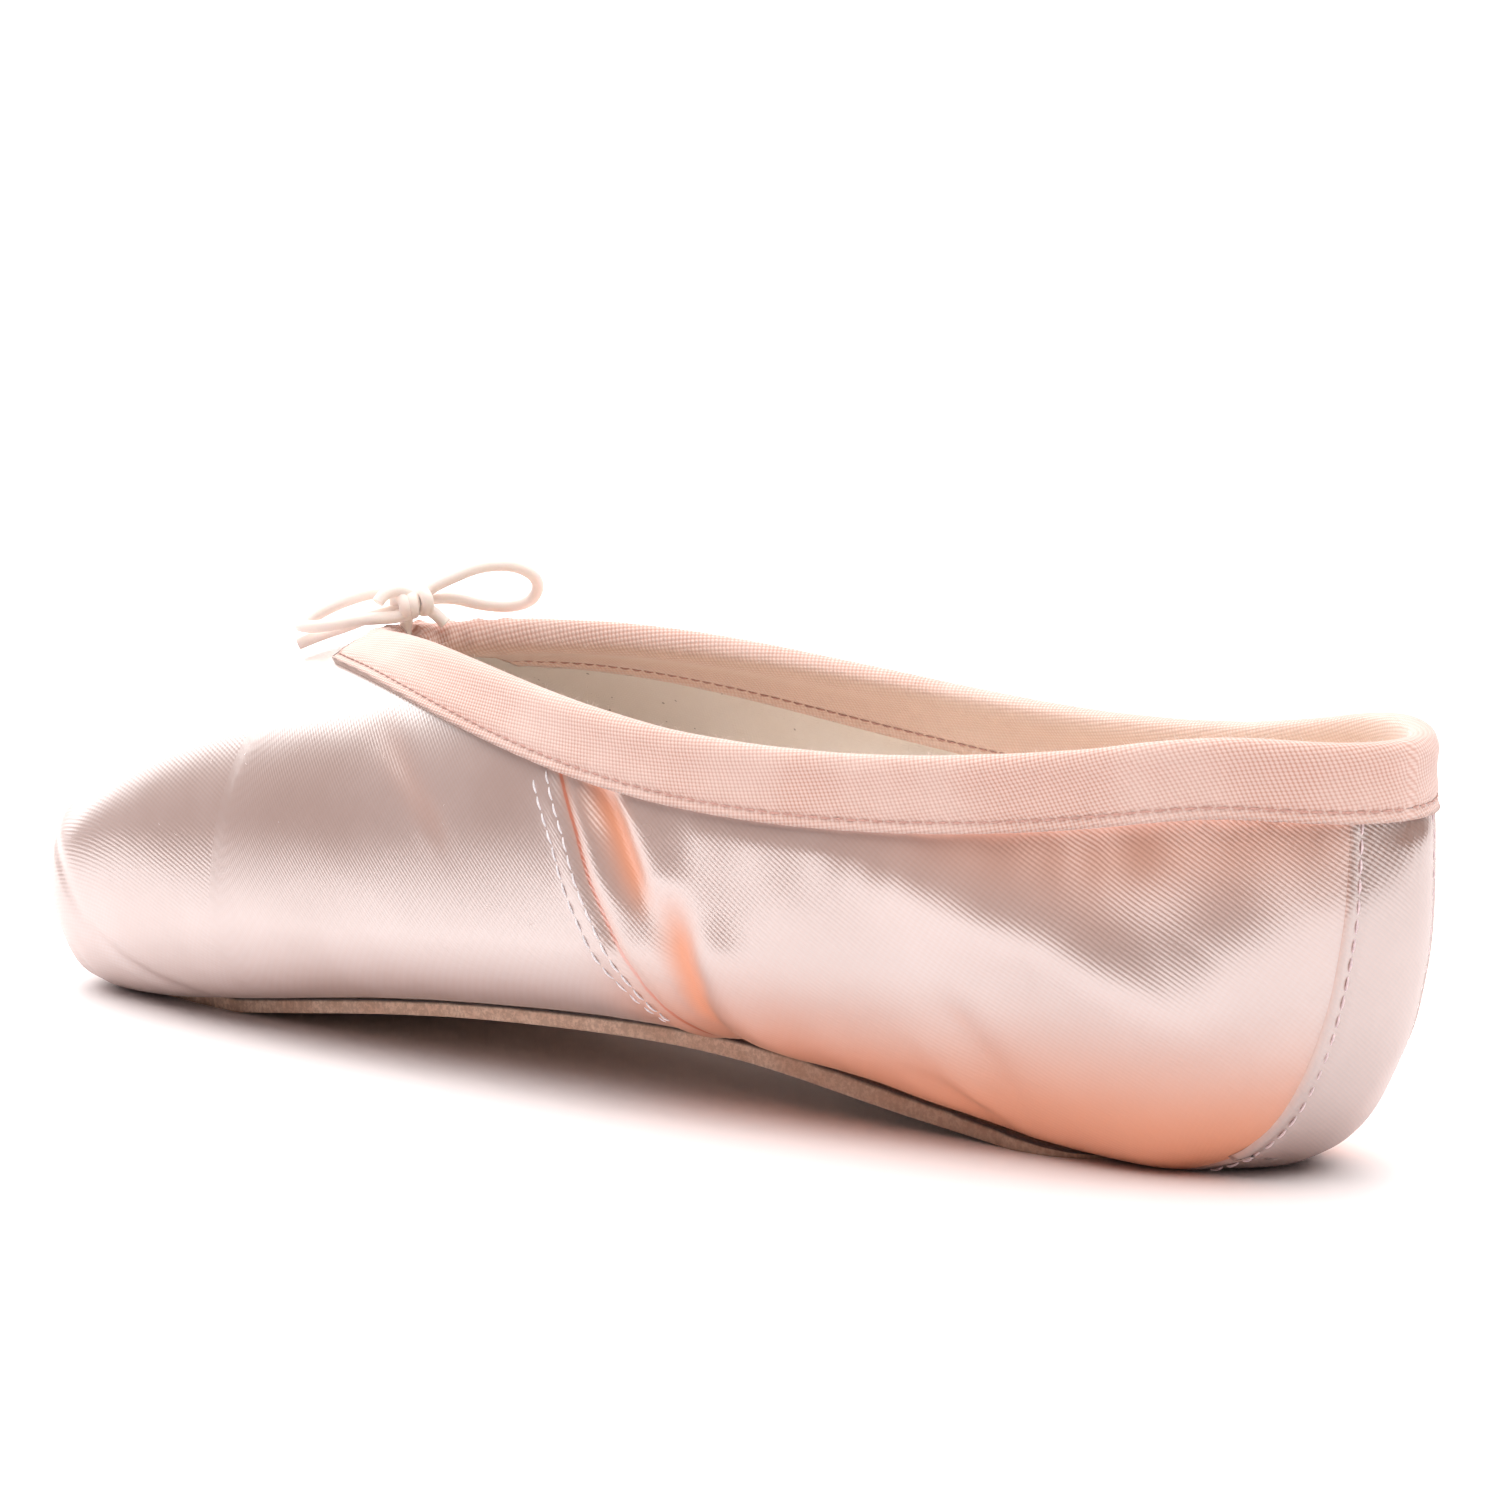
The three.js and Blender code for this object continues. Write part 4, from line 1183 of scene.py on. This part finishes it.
def side_line(line, shift, side, lift):
    """A line of back and height pairs on one side of the upper, moved towards the toe by a shift."""
    line = resample(np.asarray(line, float), 60)
    ahead = unit(np.gradient(line, axis=0))
    moved = line + np.stack([-ahead[:, 1], ahead[:, 0]], -1) * shift
    run = run_of(moved[:, 0])
    guess = np.stack([moved[:, 0] - LENGTH / 2, side * last["half"](run), moved[:, 1]], -1)
    for _ in range(4):
        spot = onto_last(guess)
        guess = np.stack([guess[:, 0], spot[:, 1], guess[:, 2]], -1)
    relief = satin_relief(spot)[0]
    out = last_normal(spot)
    return spot + out * (relief + lift)[:, None], out


def make_stitches():
    white = thread("seam_thread", (0.95, 0.90, 0.93))
    rose = thread("casing_thread", (0.66, 0.36, 0.30))
    seam = [[111.7, 44.5], *SEAM[2:7], [93, 9.5]]
    rows = []
    for side in (1, -1):
        for shift in (2.0, 4.4):
            points, out = side_line(seam, shift, side, 0.06)
            narrow = smooth(points[:, 2], 22, 10)[:, None]
            points = points - np.array([shift * 0.35, 0, 0]) * narrow
            rows.append((points, out))
    made = stitch_rows("side_seam_stitches", rows, white, pitch=2.5, length=2.0, radius=0.15)
    spots, outs, _ = tape_sections()
    level = round(TAPE_STITCH * TAPE_LEVELS)
    wall = wall_at(spots[level])
    keep = slice(0, TAPE_STATIONS - TAPE_PLAIN)
    rows = []
    for side in (1, -1):
        mirror = np.array([1, side, 1])
        rows.append(((spots[level] + outs[level] * 0.55)[keep] * mirror, outs[level][keep] * mirror))
        inside = spots[level] - outs[level] * (wall + 0.55)[:, None]
        rows.append((inside[keep] * mirror, -outs[level][keep] * mirror))
    made = stitch_rows("casing_stitches", rows, rose, pitch=1.9, length=1.5, radius=0.15)
    spot, out, way, _ = strip_points(np.linspace(-1, 1, 81))
    lifted = spot + out * (strip_relief(spot) + 0.28)[..., None]
    keep = (way > 7) & (way < 66)
    rows = [(lifted[keep, column], out[keep, column]) for column in (7, 73)]
    pink = thread("strip_thread", (0.90, 0.70, 0.72))
    made = stitch_rows("heel_strip_stitches", rows, pink, pitch=2.4, length=1.8)


# ---- loose fibres
CASING_FIBRES = 260           # on each side
LINT_FIBRES = 36


def fibres(name, roots, outs, length, rise, material, seed):
    """Fine curled fibres from points on a cloth: rise is 1 where they stand up and 0 where they lie."""
    rng = np.random.default_rng(seed)
    parts = []
    for root, out in zip(roots, outs):
        aside = unit(np.cross(out, rng.normal(size=3)))
        curl = unit(np.cross(out, aside)) * rng.uniform(-1, 1)
        t = np.linspace(0, 1, 6)[:, None]
        reach = length * rng.uniform(0.4, 1.2)
        path = root + reach * (out * (rise * (t - 0.4 * t ** 2) + 0.03) + aside * t * rng.uniform(0.2, 1)
                               + curl * t ** 2 * 0.6)
        parts.append(tube(path, 0.02, 3))
    points, faces = joined(parts)
    made = add_object(name, points, faces, material)
    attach(made, "root")
    return made


def make_fibres():
    rng = np.random.default_rng(51)
    cotton = thread("cotton_fibre", (0.93, 0.80, 0.74))
    roots, outs = [], []
    for side in (1, -1):
        rings, _ = tape_rings(side)
        for _ in range(CASING_FIBRES):
            k = rng.integers(0, TAPE_STATIONS - 6)
            j = TAPE_LEVELS + rng.integers(2, 9)
            roots.append(rings[k, j])
            outs.append(unit(rings[k, j] - (rings[k, TAPE_LEVELS - 1] + rings[k, TAPE_LEVELS + 12]) / 2))
    fibres("casing_fuzz", roots, outs, 0.8, 1.0, cotton, 52)
    back = rng.uniform(112, 196, LINT_FIBRES)
    height = rng.uniform(20, 44, LINT_FIBRES) - 0.12 * np.maximum(0, back - 150)
    guess = np.stack([back - LENGTH / 2, np.where(rng.uniform(size=LINT_FIBRES) < 0.6, 33, -33), height], -1)
    spot = onto_last(guess)
    out = last_normal(spot)
    spot = spot + out * (satin_relief(spot)[0] + 0.03)[:, None]
    fibres("satin_lint", spot, out, 1.1, 0.06, cotton, 53)


# ---- sole and insole
PLATE_END = 0.55              # share of its width that a plate keeps at its very end
PLATE_ACROSS = 23             # points across its top, and across its underside
PLATE_EDGE = 6                # points down each edge


def plate_rows(start, end, rounding, half_at, steps):
    back = start + (end - start) * (1 - np.cos(np.linspace(0, 1, steps + 1) * math.pi)) / 2
    near = np.minimum(1, np.minimum((back - start) / rounding, (end - back) / rounding))
    full = np.sqrt(np.maximum(0, 1 - (1 - near) ** 2))
    return back, half_at(back) * (PLATE_END + (1 - PLATE_END) * full)


def plate(name, back, half, under, over, material, bulge, seed):
    """A bent plate with soft edges, from rows of half width, underside and top."""
    across = np.sin(np.linspace(-1, 1, PLATE_ACROSS) * math.pi / 2)
    edge = np.linspace(0, 1, PLATE_EDGE + 2)[1:-1]
    rows, dark, cloth = [], [], []
    for b, h, lo, hi in zip(back, half, under, over):
        depth = hi - lo
        side_y = h + bulge * depth * np.sin(edge * math.pi)
        side_z = hi - depth * (1 - np.cos(edge * math.pi)) / 2
        y = np.concatenate([across * h, side_y, -across * h, -side_y[::-1]])
        z = np.concatenate([np.full(PLATE_ACROSS, hi), side_z, np.full(PLATE_ACROSS, lo), side_z[::-1]])
        rows.append(np.stack([np.full(len(y), b - LENGTH / 2), y, z], -1))
        # the upper part of each side edge and the rim of the top: a painted gap shadow, kept as the edge
        # attribute
        top = smooth(edge, 0.32, 0.1)
        rim_gap_shadow = smooth(np.abs(across), 0.9, 0.98)
        dark.append(np.concatenate([rim_gap_shadow, top, np.zeros(PLATE_ACROSS), top[::-1]]))
        cloth.append(np.stack([np.full(len(y), b), y], -1))
    rings = np.array(rows)
    rough = unevenness(rings, 3.5, seed)
    outward = np.zeros_like(rings)
    outward[:, PLATE_ACROSS:PLATE_ACROSS + PLATE_EDGE, 1] = 1
    outward[:, 2 * PLATE_ACROSS + PLATE_EDGE:, 1] = -1
    rings = rings + outward * (0.14 * rough)[..., None]
    faces, corner_uv = ring_faces(rings, np.array(cloth), False)
    values = {"edge": np.array(dark).ravel(), "back": back_of(rings).ravel()}
    made = add_object(name, rings.reshape(-1, 3), faces, material, corner_uv, values)
    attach(made, "root")
    return made


def make_sole():
    back, half = plate_rows(SOLE[0][0], SOLE[-1][0], SOLE_END_ROUND, sole["half"], 180)
    over = np.maximum(base_at(run_of(back)) - GAP, SOLE_FRONT * (back > SOLE_RECESS))
    under = np.maximum(0, over - sole["thick"](back))
    made = plate("leather_sole", back, half, under, over, suede("sole_suede"), 0.08, 41)
    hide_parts("outsole")


def make_insole():
    def half_at(back):
        flat = last["flat"](np.maximum(FAN_RUN, run_of(back))) - INSOLE_INSET
        return np.sqrt(flat ** 2 - np.maximum(0, HEEL_CENTRE - back) ** 2)
    back, half = plate_rows(INSOLE_START, INSOLE_END, INSOLE_END_ROUND, half_at, 150)
    run = run_of(back)
    under = base_at(run) + last["wall"](run) + GAP
    board = insole_cloth("insole_suede")
    made = plate("insole_board", back, half, under, under + INSOLE_THICK, board, 0.25, 43)
    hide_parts("insole")


make_backdrop()
make_satin()
make_lining()
make_tape()
make_strip()
make_stitches()
make_fibres()
make_sole()
make_insole()
